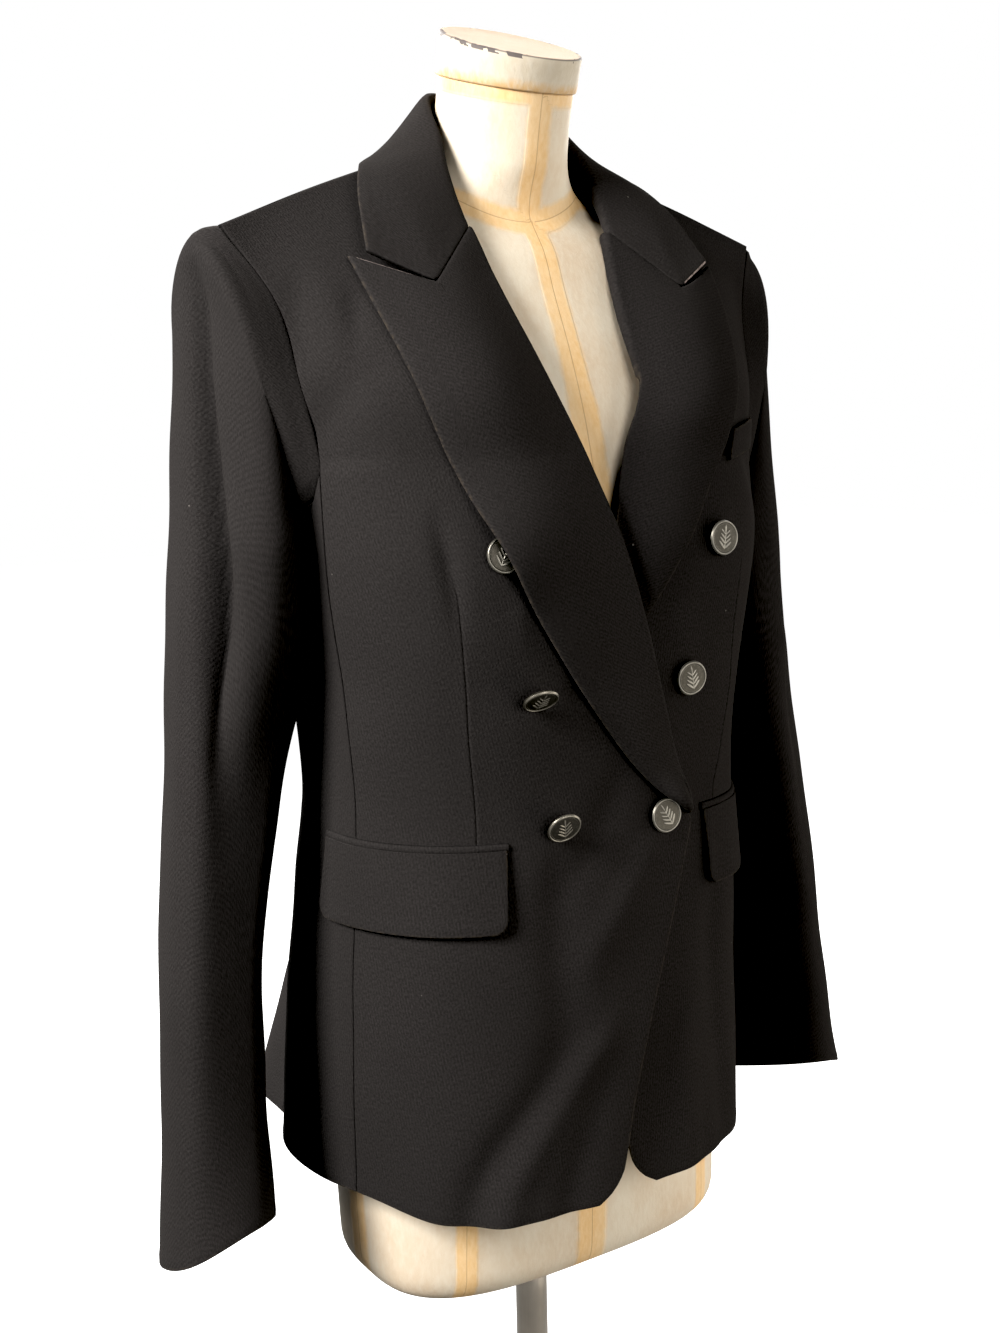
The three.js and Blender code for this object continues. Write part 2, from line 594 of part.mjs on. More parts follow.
add('pole', 'steel', turned([[POLE_R - 1, 16], [POLE_R, 17], [POLE_R, LEVEL + FORM[0][0] - 0.05]], 24), group);
add('base', 'steel', turned([
  [BASE_R - 2, 0], [BASE_R, 3], [BASE_R, 9], [BASE_R - 6, 13], [60, 18], [22, 20], [20, HUB],
  [POLE_R + 0.2, HUB], [POLE_R + 0.2, 15.8],
], 48), group);

export default group;
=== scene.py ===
import math

import bpy
import numpy as np
from mathutils import Matrix


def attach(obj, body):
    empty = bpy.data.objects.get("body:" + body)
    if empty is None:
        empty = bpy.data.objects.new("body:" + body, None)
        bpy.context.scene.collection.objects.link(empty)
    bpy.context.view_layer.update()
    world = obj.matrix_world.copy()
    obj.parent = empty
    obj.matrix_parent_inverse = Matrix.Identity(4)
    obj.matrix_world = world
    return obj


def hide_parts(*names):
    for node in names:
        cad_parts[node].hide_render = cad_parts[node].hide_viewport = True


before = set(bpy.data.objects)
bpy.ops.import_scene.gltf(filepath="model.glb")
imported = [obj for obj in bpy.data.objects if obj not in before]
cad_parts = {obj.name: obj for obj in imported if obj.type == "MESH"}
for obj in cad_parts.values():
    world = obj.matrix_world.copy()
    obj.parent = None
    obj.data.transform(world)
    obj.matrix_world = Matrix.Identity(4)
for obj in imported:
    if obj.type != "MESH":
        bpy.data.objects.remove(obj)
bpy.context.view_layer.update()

# A double-breasted blazer on a dress form. Tables and shapes are in millimetres above LEVEL, as the packed
# model was made, and turned into metres when a mesh is made. The front faces -Y, the wearer's right is -X.

# ---- the blazer's shape ----
LEVEL = 665.0
SIDES = (("right", -1), ("left", 1))
HEM, ARMHOLE, UNDERARM, TOP = 68.0, 545.0, 500.0, 700.0
CLOTH, TURNED = 1.6, 2.4  # thicknesses of a single wall and of a turned piece
FRONT_SEAM, BACK_SEAM = 76.0, 112.0  # degrees from the centre front
UNDERLAP = 6.8  # how far the left front is set back under the right one
BOW_AT, BOW_HALF = 592.0, 34.0  # height and half height of the bow in the left front's roll

BODY = {
    "z": [68, 110, 200, 270, 335, 400, 450, 495, 545, 600],
    "side": [168, 167, 162, 156, 151, 156, 163, 168, 171, 172],
    "front": [130, 127, 122, 117, 114, 119, 125, 126, 112, 96],
    "back": [174, 162, 138, 118, 106, 104, 106, 108, 108, 104],
    "front_power": [2.4, 2.4, 2.4, 2.5, 2.4, 2.4, 2.4, 2.4, 2.4, 2.4],
    "back_power": [2.9, 2.9, 3.0, 3.2, 3.2, 3.0, 2.8, 2.6, 2.6, 2.6],
    "dip": [0, 0, 0, 0, 1, 5, 10, 14, 13, 12],
    "groove": [16, 16, 16, 15, 14, 10, 6, 2, 0, 0],
    "flare": [34, 30, 21, 13, 9, 5, 2, 0, 0, 0],
    "tuck": [12, 10, 6, 3, 0, 0, 0, 0, 0, 0],
    "sway": [-5, -4, -3, -1, 0, 0, 0, 0, 0, 0],
}
# the middle and width of each bend round the body, in degrees from the centre front
BENDS = {"dip": (0, 24), "groove": (124, 13), "tuck": (70, 17), "flare": (149, 12)}
LEFT_TUCK = 1.6
BACK_LINE = {"z": [68, 300, 390, 450, 500, 545], "a": [128, 126, 122, 117, 113, 112]}
SHOULDER = {"x": [62, 110, 158, 205], "y": [8, 10, 5, -1], "z": [740, 724, 707, 688]}
# x, y, z at these angles from the centre, in rows from the armhole's level up to the shoulder
FRONT_COLUMNS = [10, 35, 58, 76]
FRONT_ROWS = [
    [[34, -82, 597], [88, -96, 594], [142, -70, 596], [174, -37, 594]],
    [[52, -46, 664], [98, -49, 660], [148, -38, 654], [182, -22, 644]],
    [[62, 8, 740], [110, 10, 724], [158, 5, 707], [205, -1, 688]],
]
BACK_COLUMNS = [112, 138, 160, 170, 180]
BACK_ROWS = [
    [[162, 58, 596], [104, 99, 598], [50, 111, 600], [25, 110, 602], [0, 108, 602]],
    [[174, 39, 648], [108, 78, 668], [54, 95, 676], [27, 97, 679], [0, 98, 680]],
    [[205, -1, 688], [130, 8, 718], [62, 8, 740], [38, 50, 748], [0, 63, 752]],
]
# a column for each section, down the sleeve
SLEEVE = {
    "in_x": [179, 177, 174, 174, 187, 206, 211, 210, 210],
    "in_z": [488, 467, 436, 398, 330, 250, 162, 105, 58],
    "out_x": [219, 221, 227, 239, 249, 258, 265, 270, 277],
    "out_z": [677, 643, 562, 452, 338, 250, 158, 97, 46],
    "mid_y": [17, 20, 20, 15, 12, 8, 2, -2, -5],
    "half_y": [49, 54, 59, 59, 55, 52, 51, 53, 54],
    "skew": [6, 10, 11, 8, 3, 1, 0, 0, 0],
    "square": [0.35, 0.42, 0.38, 0.2, 0, 0, 0, 0, 0],
    "drop": [0, 0, 0, 0, 0, 0, 5, 12, 20],
}
# the lapel's roll line, the front edge below it and the lapel's outer edge; x is past the centre if above 0
ROLL = {"z": [313, 400, 497, 546, 597, 640, 684], "x": [55, 28, 0, -17, -34, -46, -55]}
EDGE = {"z": [68, 74, 80, 88, 140, 204, 305], "x": [-31, -21, -15, -10, 4, 25, 62]}
LAPEL_FOOT = {"right": 314, "left": 350}
LAPEL = {
    "z": [318, 335, 361, 400, 430, 460, 490, 520, 555, 592, 630, 656, 668],
    "right": [50, 27, 2, -28, -49, -68, -84, -98, -110, -122, -131, -136, -138],
    "left": [50, 27, 9, -2, -14, -34, -55, -77, -103, -120, -131, -136, -138],
}
NOTCH, GORGE, PEAK = (94, 648), (55, 684), (138, 668)
# from the centre back to the end: x, y, z at the seam, on the fold, half way down the fall and at its edge
COLLAR = [
    [[0, 64, 754], [0, 60, 786], [0, 72, 764], [0, 86, 729]],
    [[36, 52, 751], [32, 43, 782], [44, 57, 760], [56, 80, 726]],
    [[53, 30, 746], [46, 22, 770], [64, 33, 753], [86, 36, 731]],
    [[57, 7, 737], [52, 2, 750], [77, 9, 740], [105, 9, 728]],
    [[57, -16, 712], [59, -19, 721], [90, -20, 716], [120, -16, 707]],
    [[56, -32, 693], [55, -36, 689], [94, -62, 653.5], [131, -44, 672]],
]
# the dress form at heights z: half width, depths, the middle's y, the section's power, its lean in degrees
FORM = {
    "z": [-9, -7, 0, 14, 110, 220, 335, 420, 497, 560, 610, 650, 676, 692, 702, 714, 724, 738, 760, 786],
    "side": [120, 129, 137, 140, 141, 130, 114, 126, 140, 148,
             152, 150, 132, 108, 87, 67, 54, 46.5, 44.5, 44.5],
    "front": [62, 71, 78, 81, 84, 86, 84, 92, 98, 86, 69, 52.5, 45.1, 40, 41, 43, 44, 45, 44.5, 44.5],
    "back": [62, 71, 78, 81, 86, 84, 76, 82, 88, 88, 86, 80, 70, 58, 52, 47, 45, 45, 44.5, 44.5],
    "mid": [-2, -2, -2, -2, 0, 0, 0, 0, 0, 0, 0, 1, 4, 10, 16, 17, 15, 11, 6, 0],
    "power": [3.1, 3.1, 3.1, 3.1, 2.8, 2.5, 2.3, 2.3, 2.3, 2.3, 2.2, 2.1, 2, 1.9, 1.9, 1.9, 2, 2, 2, 2],
    "lean": [0, 0, 0, 0, 0, 0, 0, 0, 0, 0, 0, 0, 0, 0, 2, 4, 6, 9, 12, 17],
}

# ---- folds ----
# each point is x, y, z, how far the cloth moves out there (in, if negative) and how wide the fold is
FOLDS = {
    "front_right": [
        [[-138, -72, 618, 0, 14], [-144, -67, 605, -2.4, 14], [-156, -56, 588, -3, 13],
         [-168, -44, 567, -2, 13],
         [-172, -38, 550, 0, 12]],
        [[-139, -44, 656, 0, 8], [-143, -50, 640, -2.4, 8], [-148, -57, 618, -1.5, 8],
         [-150, -60, 604, 0, 8]],
        [[-165, -24, 668, 0, 9], [-171, -31, 646, -2, 10], [-174, -36, 624, -1.5, 10],
         [-175, -40, 600, 0, 10]],
        [[-121, -97, 524, 0, 6], [-118, -99, 510, -2, 7], [-115, -102, 490, -4, 7],
         [-112, -104, 470, -3.4, 6],
         [-108, -103, 445, -1.2, 6], [-106, -101, 420, 0, 6]],
        [[-76, -113, 474, 0, 6], [-73, -115, 455, 1.2, 6], [-70, -115, 430, 0, 6]],
        [[-46, -115, 314, 0, 8], [-49, -115, 299, -1.8, 9], [-50, -116, 274, -3, 12],
         [-51, -118, 236, -3.4, 15],
         [-48, -122, 185, -3.8, 17], [-60, -122, 156, -4, 16], [-78, -119, 137, -4, 14],
          [-98, -113, 113, -4.2, 13],
         [-110, -109, 92, -4.4, 13], [-117, -107, 66, -4.4, 13]],
        [[32, -117, 307, 0, 10], [23, -117, 294, 2, 11], [0, -119, 265, 3.5, 13], [-21, -120, 240, 3, 14],
         [-36, -121, 212, 0, 14]],
        [[-4, -125, 197, 0, 10], [-21, -125, 177, 2.5, 11], [-49, -124, 150, 3, 11],
         [-71, -122, 122, 3, 11],
         [-88, -118, 95, 3.5, 12], [-96, -116, 66, 3, 12]],
        [[-14, -126, 168, 0, 10], [-27, -126, 139, -2, 12], [-40, -127, 108, -3, 13],
         [-50, -128, 84, -3, 13],
         [-52, -128, 66, -3, 13]],
        [[12, -115, 357, 0, 10], [1, -115, 343, -1.5, 12], [-16, -115, 313, -2.5, 12],
         [-37, -116, 285, -2, 12],
         [-49, -117, 264, 0, 12]],
        [[-40, -117, 412, 0, 8], [-30, -117, 404, -1.6, 9], [-14, -116, 396, -1.2, 9],
         [0, -115, 390, 0, 9]],
    ],
    "front_left": [
        [[96, -104, 300, 0, 9], [92, -108, 270, -2, 12], [88, -112, 220, -3, 14], [92, -114, 150, -3.5, 15],
         [100, -112, 66, -4, 16]],
        [[62, -122, 200, 0, 10], [54, -124, 150, 2.5, 14], [50, -126, 66, 3, 15]],
        [[112, -88, 590, 0, 12], [128, -84, 560, -2.4, 12], [140, -78, 530, -2, 12],
         [148, -70, 505, 0, 12]],
    ],
    "side_right": [
        [[-158, 12, 420, 0, 9], [-157, 16, 380, -2.2, 10], [-154, 26, 345, -2.6, 11],
         [-150, 44, 315, 0, 11]],
    ],
    "back": [
        [[168, 46, 560, 0, 12], [150, 76, 520, -3.5, 13], [128, 92, 470, -3, 14], [110, 98, 430, 0, 14]],
        [[150, 80, 596, 0, 12], [134, 92, 560, 2.5, 12], [112, 102, 520, 0, 13]],
        [[60, 112, 420, 0, 15], [64, 112, 370, -2.5, 15], [70, 116, 310, -3, 16], [76, 128, 240, -2, 16],
         [82, 140, 190, 0, 16]],
        [[24, 106, 410, 0, 12], [26, 104, 370, -2, 13], [30, 108, 320, -2.2, 13], [34, 120, 262, 0, 13]],
        [[96, 104, 400, 0, 9], [88, 106, 372, -2.4, 9], [66, 108, 352, -2, 9], [40, 106, 344, 0, 9]],
        [[44, 150, 200, 0, 16], [46, 162, 140, -4, 18], [48, 176, 66, -5, 20]],
    ],
    "sleeve_right": [
        [[-216, 13, 672, 0, 8], [-218, 10, 640, -10, 8], [-223, 6, 588, -19, 9], [-226, 0, 546, -23, 10],
         [-228, -12, 493, -24, 11], [-232, -20, 446, -22, 13], [-235, -26, 391, -12, 15],
          [-237, -29, 340, -5, 18],
         [-242, -32, 290, -2, 18], [-254, -39, 168, -1, 18], [-270, -43, 40, 0, 18]],
        [[-236, 14, 600, 0, 10], [-241, 13, 540, 3, 11], [-248, 10, 450, 4, 12], [-256, 6, 360, 2, 13],
         [-260, 2, 280, 1, 13], [-266, -4, 180, 0, 14]],
        [[-200, -38, 600, 0, 12], [-204, -46, 540, 3, 13], [-204, -52, 480, 4, 13], [-206, -54, 420, 2, 13],
         [-208, -54, 380, 0, 13]],
    ],
    "sleeve_left": [
        [[216, 14, 662, 0, 9], [218, 4, 600, -6, 11], [222, -12, 530, -9, 13], [224, -28, 450, -10, 17],
         [228, -38, 370, -10, 20], [234, -44, 290, -9, 22], [244, -50, 200, -6, 22],
          [258, -56, 50, -3, 22]],
    ],
}


# ---- curves and shapes ----
def ease(t):
    t = np.clip(t, 0, 1)
    return t * t * (3 - 2 * t)


def mix(a, b, t):
    return a + (b - a) * t


def hump(x, width):
    """A round hump, 1 high, that falls to a third at width from its middle."""
    return np.exp(-((x / width) ** 2))


def unit(v):
    return v / np.maximum(np.linalg.norm(v, axis=-1, keepdims=True), 1e-9)


UP = np.array([0, 0, 1.0])


def level(v):
    """The level direction at right angles to v."""
    return unit(np.cross(UP, v))


def xyz(x, y, z):
    return np.stack(np.broadcast_arrays(x, y, z), -1)


def turned(a, b, angle):
    """Two directions at right angles, turned by an angle in radians, the first towards the second."""
    c, s = math.cos(angle), math.sin(angle)
    return a * c + b * s, b * c - a * s


def along(xs, rows, x):
    """A smooth curve at the N positions x, straight beyond its ends. It passes at the positions xs through
    the rows, each of which is one point or N of them."""
    xs, x = np.array(xs, float), np.asarray(x, float)
    rows = np.stack([np.broadcast_to(r, (len(x), np.shape(r)[-1])) for r in rows])
    before, after = (np.clip(np.arange(len(xs)) + side, 0, len(xs) - 1) for side in (-1, 1))
    slope = (rows[after] - rows[before]) / (xs[after] - xs[before])[:, None, None]
    i = np.clip(np.searchsorted(xs, x) - 1, 0, len(xs) - 2)
    k = np.arange(len(x))
    h = (xs[i + 1] - xs[i])[:, None]
    q = (x - xs[i])[:, None] / h
    t = np.clip(q, 0, 1)
    p = (1 + 2 * t) * (1 - t) ** 2 * rows[i, k] + t * (1 - t) ** 2 * h * slope[i, k]
    p += t * t * (3 - 2 * t) * rows[i + 1, k] + t * t * (t - 1) * h * slope[i + 1, k]
    return p + (np.minimum(q, 0) * slope[0] + np.maximum(q - 1, 0) * slope[-1]) * h


def through(xs, ys):
    """The same through plain values, as a function of positions in any shape."""
    return lambda x: along(xs, [[y] for y in ys], np.ravel(x))[:, 0].reshape(np.shape(x))


def curves(table, key="z"):
    return {name: through(table[key], values) for name, values in table.items() if name != key}


body = curves(BODY)
back_seam = curves(BACK_LINE)["a"]
shoulder = curves(SHOULDER, "x")
roll_x, edge_x = curves(ROLL)["x"], curves(EDGE)["x"]


def superellipse(s, c, side, depth, power):
    """Distance from the middle to a level section's edge, in the direction with that sine and cosine."""
    return ((np.abs(s) / side) ** power + (np.abs(c) / depth) ** power) ** (-1 / power)


def ring(a, z):
    """Level section of the body at height z, a degrees round from the centre front."""
    a, z = np.broadcast_arrays(np.asarray(a, float), np.asarray(z, float))
    s, c, turn = np.sin(np.radians(a)), np.cos(np.radians(a)), np.abs(a)
    power = mix(body["front_power"](z), body["back_power"](z), ease((turn - 60) / 60))
    depth = np.where(c > 0, body["front"](z), body["back"](z))
    r = superellipse(s, c, body["side"](z), depth, power)
    bend = {name: body[name](z) * hump(turn - middle, width) for name, (middle, width) in BENDS.items()}
    r = r - bend["dip"] - bend["groove"] - bend["tuck"] * np.where(a > 0, LEFT_TUCK, 1) + bend["flare"]
    return xyz(r * s + body["sway"](z), -r * c, z)


def upper(columns, rows, a, h, snap=True):
    """Above the armhole's level: through each column's stations, and at the top onto the shoulder line."""
    w = (h - ARMHOLE) / (TOP - ARMHOLE)
    lines = []
    for i, column in enumerate(columns):
        stations = [ring(column, ARMHOLE - 55), ring(column, ARMHOLE), *(row[i] for row in rows)]
        lines.append(along([-0.33, 0, 0.33, 0.67, 1], stations, w))
    p = along(columns, lines, a)
    if snap:
        top = upper(columns, rows, a, np.full_like(h, TOP), False)
        near = ease((h - TOP + 40) / 40) * ease((top[:, 0] - 58) / 8)
        for k, name in ((1, "y"), (2, "z")):
            p[:, k] += near * (shoulder[name](top[:, 0]) - top[:, k])
    return p


def surface(a, h):
    """The body surface: level up to the armhole, rising to the shoulder line at h = TOP."""
    a, h = (np.array(x, float).ravel() for x in np.broadcast_arrays(a, h))
    p = ring(a, np.minimum(h, ARMHOLE))
    is_front = np.abs(a) < 100
    for columns, rows, part in ((FRONT_COLUMNS, FRONT_ROWS, is_front), (BACK_COLUMNS, BACK_ROWS, ~is_front)):
        use = part & (h > ARMHOLE)
        if use.any():
            p[use] = upper(columns, rows, np.abs(a[use]), h[use]) * xyz(np.where(a[use] < 0, -1, 1), 1, 1)
    return p


def locate(x, z):
    """Angle and height of the front surface points whose x and z are given, by Newton's method."""
    a = np.clip(np.degrees(np.arctan2(x, 115)), -80, 80)
    h = np.minimum(z, 690.0)
    for _ in range(18):
        p = surface(a, h)
        pa, ph = (surface(a + 0.2, h) - p) / 0.2, (surface(a, h + 0.2) - p) / 0.2
        det = pa[:, 0] * ph[:, 2] - pa[:, 2] * ph[:, 0]
        dx, dz = x - p[:, 0], z - p[:, 2]
        a = a + np.clip((dx * ph[:, 2] - dz * ph[:, 0]) / det, -6, 6)
        h = h + np.clip((pa[:, 0] * dz - pa[:, 2] * dx) / det, -15, 15)
    return a, h


# ---- meshes ----
def metres(points):
    return (np.asarray(points, float) + [0, 0, LEVEL]) / 1000


def new_object(name, data):
    thing = bpy.data.objects.new(name, data)
    bpy.context.scene.collection.objects.link(thing)
    return thing


def piece(name, points, faces, materials, node, attributes, index=0):
    """A smooth mesh object made from points in millimetres above LEVEL, with its faces turned outwards."""
    around = np.asarray(points, float) - np.mean(points, 0)
    fans = np.array([(f[0], f[k], f[k + 1]) for f in faces for k in range(1, len(f) - 1)])
    a, b, c = (around[fans[:, k]] for k in range(3))
    if (a * np.cross(b, c)).sum() < 0:
        faces = [f[::-1] for f in faces]
    mesh = bpy.data.meshes.new(name)
    mesh.from_pydata(metres(points).tolist(), [], [list(map(int, f)) for f in faces])
    mesh.update()
    for material in materials:
        mesh.materials.append(material)
    mesh.polygons.foreach_set("material_index", np.broadcast_to(index, len(faces)).astype(np.int32))
    mesh.polygons.foreach_set("use_smooth", np.full(len(faces), True))
    for key, values in attributes.items():
        layer = mesh.attributes.new(key, "FLOAT_VECTOR", "POINT")
        layer.data.foreach_set("vector", np.asarray(values, np.float32).ravel())
    thing = new_object(name, mesh)
    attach(thing, "root")
    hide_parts(node)


def steps(length, cell, fine=(0, 0.35, 0.9, 1.8, 3.2), middle=None):
    """Positions from 0 to 1 along a length, close together near both ends and round the middle one."""
    margin = fine[-1] + cell * 0.6
    inner = list(np.linspace(margin, length - margin, max(3, int(length / cell))))
    if middle is not None:
        centre = middle * length
        inner = [q for q in inner if abs(q - centre) > 5.5]
        inner += [centre + d for d in (-5, -3, -1.7, -0.9, -0.4, 0, 0.4, 0.9, 1.7, 3, 5)]
    return np.array(sorted([*fine, *inner, *[length - q for q in fine]])) / length


def normals(grid, away=None):
    """Directions off the cloth on the side that away points to, or that faces out from the pole."""
    n = unit(np.cross(np.gradient(grid, axis=1), np.gradient(grid, axis=0)))
    away = grid * [1, 1, 0] if away is None else away
    return n if (n * away).sum() > 0 else -n


def runs(grid, axis):
    """Distance along the cloth from each of the two edges crossed by that axis."""
    step = np.linalg.norm(np.diff(grid, axis=axis), axis=-1)
    pad = [(0, 0), (0, 0)]
    pad[axis] = (1, 0)
    near = np.cumsum(np.pad(step, pad), axis=axis)
    return near, near.take([-1], axis=axis) - near


def folds(points, table):
    """How far each point moves out by the folds of the table."""
    flat = points.reshape(-1, 3)
    total = np.zeros(len(flat))
    for fold in table:
        line = np.array(fold, float)
        best, painted_shade_scale, wide = np.full(len(flat), 1e9), np.zeros(len(flat)), np.ones(len(flat))
        for p, q in zip(line[:-1], line[1:]):
            d = q[:3] - p[:3]
            t = np.clip(((flat - p[:3]) @ d) / (d @ d), 0, 1)
            gap = np.linalg.norm(flat - p[:3] - t[:, None] * d, axis=1)
            near = gap < best
            best = np.where(near, gap, best)
            painted_shade_scale = np.where(near, mix(p[3], q[3], t), painted_shade_scale)
            wide = np.where(near, mix(p[4], q[4], t), wide)
        total += painted_shade_scale * hump(best, wide)
    return total.reshape(points.shape[:-1])


def ripple(points, size=0.35):
    """Slight unevenness of hanging cloth."""
    x, y, z = points[..., 0], points[..., 1], points[..., 2]
    wave = np.sin(x / 17 + 1.3 * np.sin(z / 41)) * np.sin(z / 29 + y / 23)
    return size * (wave + 0.6 * np.sin(z / 13 + x / 31 - y / 19))


FAR = 1e3


def cloth(node, grid, thick, kinds, move, outer=None, away=None, face_strip=0.0, strip=FAR):
    """A cloth shell on a grid of points (rows, columns, 3), moved out by move. kinds has a letter for its
    left, right, bottom and top edge: f, free, is rounded; s, a seam, sinks into a groove; h is hidden."""
    n = normals(grid, away)
    left, right = runs(grid, 1)
    bottom, top = runs(grid, 0)
    nearest = {kind: np.full(grid.shape[:2], FAR) for kind in "fsh"}
    for kind, distance in zip(kinds, (left, right, bottom, top)):
        nearest[kind] = np.minimum(nearest[kind], distance)
    free, seam = nearest["f"], nearest["s"]
    half = thick / 2
    round_off = np.sqrt(np.clip(1 - (1 - np.minimum(free / (half * 1.15), 1)) ** 2, 0.01, 1))
    ridge = 0.28 * hump(free - 5.5, 2.4)
    groove = 0.7 * hump(seam, 0.65) - 0.16 * hump(seam - 4, 2.4)
    outside = grid + n * (move + half + (half + ridge) * round_off - groove)[..., None]
    inside = grid + n * (move + half - half * round_off)[..., None]
    m = free.size
    number = np.arange(m).reshape(free.shape)
    quads = np.stack([number[:-1, :-1], number[:-1, 1:], number[1:, 1:], number[1:, :-1]], -1).reshape(-1, 4)
    rim = [*number[0, :-1], *number[:-1, -1], *number[-1, :0:-1], *number[:0:-1, 0]]
    sides = np.array([[m + i, m + j, j, i] for i, j in zip(rim, rim[1:] + rim[:1])])
    p = outside.reshape(-1, 3)[quads]
    facing = np.cross(p[:, 1] - p[:, 0], p[:, 3] - p[:, 0])
    if (facing * n.reshape(-1, 3)[quads[:, 0]]).sum() < 0:
        quads, sides = quads[:, ::-1], sides[:, ::-1]
    faces = np.vstack([quads, quads[:, ::-1] + m, sides])
    across = left - left[:, left.shape[1] // 2][:, None]
    weave, near = (xyz(*row).reshape(-1, 3) / 1000 for row in ((across, bottom, 0), (free, seam, strip)))
    attributes = {"weave": np.vstack([weave, weave + [0, 0, 0.001]]), "near": np.vstack([near, near])}
    index = np.zeros(len(faces), int)
    if face_strip:
        index[len(quads):2 * len(quads)] = (free.ravel()[quads] > face_strip).all(1)
    points = np.vstack([outside.reshape(-1, 3), inside.reshape(-1, 3)])
    piece(f"{node}_cloth", points, faces, [outer or WOOL, LINING], node, attributes, index)


# ---- materials ----
class Nodes:
    """Short ways to write a material's nodes."""

    def __init__(self, name, colour, roughness, **sockets):
        self.material = bpy.data.materials.new(name)
        self.material.use_nodes = True
        self.material.diffuse_color = (*colour, 1)
        self.tree = self.material.node_tree
        self.shader = self.tree.nodes["Principled BSDF"]
        self.set("Base Color", colour)
        self.set("Roughness", roughness)
        for key, value in sockets.items():
            self.set(key.replace("_", " "), value)

    def feed(self, socket, value):
        """Links a value that is a socket, and sets any other. A colour has three numbers."""
        if isinstance(value, bpy.types.NodeSocket):
            self.tree.links.new(value, socket)
        else:
            socket.default_value = (*value, 1) if socket.type == "RGBA" else value

    def set(self, socket, value):
        self.feed(self.shader.inputs[socket], value)

    def add(self, kind, out=0, props=None, **inputs):
        """A node's output. Its inputs are given by name, or as i and a number."""
        n = self.tree.nodes.new("ShaderNode" + kind)
        for key, value in (props or {}).items():
            setattr(n, key, value)
        for key, value in inputs.items():
            self.feed(n.inputs[int(key[1:]) if key[1:].isdigit() else key.replace("_", " ")], value)
        return n.outputs[out]

    def math(self, operation, *values):
        return self.add("Math", props={"operation": operation}, **{f"i{k}": v for k, v in enumerate(values)})

    def times(self, a, b):
        return self.math("MULTIPLY", a, b)

    def place(self):
        return self.add("NewGeometry", out="Position")

    def attribute(self, name):
        return self.add("Attribute", out="Vector", props={"attribute_name": name})

    def split(self, vector):
        return self.add("SeparateXYZ", i0=vector).node.outputs

    def stretch(self, vector, scale, turn=0.0):
        return self.add("Mapping", Vector=vector, Scale=scale, Rotation=(0, 0, turn))

    def noise(self, vector, scale, detail, rough=0.5):
        return self.add("TexNoise", Vector=vector, Scale=scale, Detail=detail, Roughness=rough)

    def ramp(self, value, low, high, a=0.0, b=1.0):
        return self.add("MapRange", Value=value, From_Min=low, From_Max=high, To_Min=a, To_Max=b)

    def blend(self, share, a, b):
        return self.add("Mix", out=2, props={"data_type": "RGBA"}, i0=share, i6=a, i7=b)

    def bump(self, height, strength, distance, **normal):
        return self.add("Bump", Strength=strength, Distance=distance, Height=height, **normal)

    def finish(self, colour, roughness, normal):
        for socket, value in (("Base Color", colour), ("Roughness", roughness), ("Normal", normal)):
            self.set(socket, value)
        return self.material


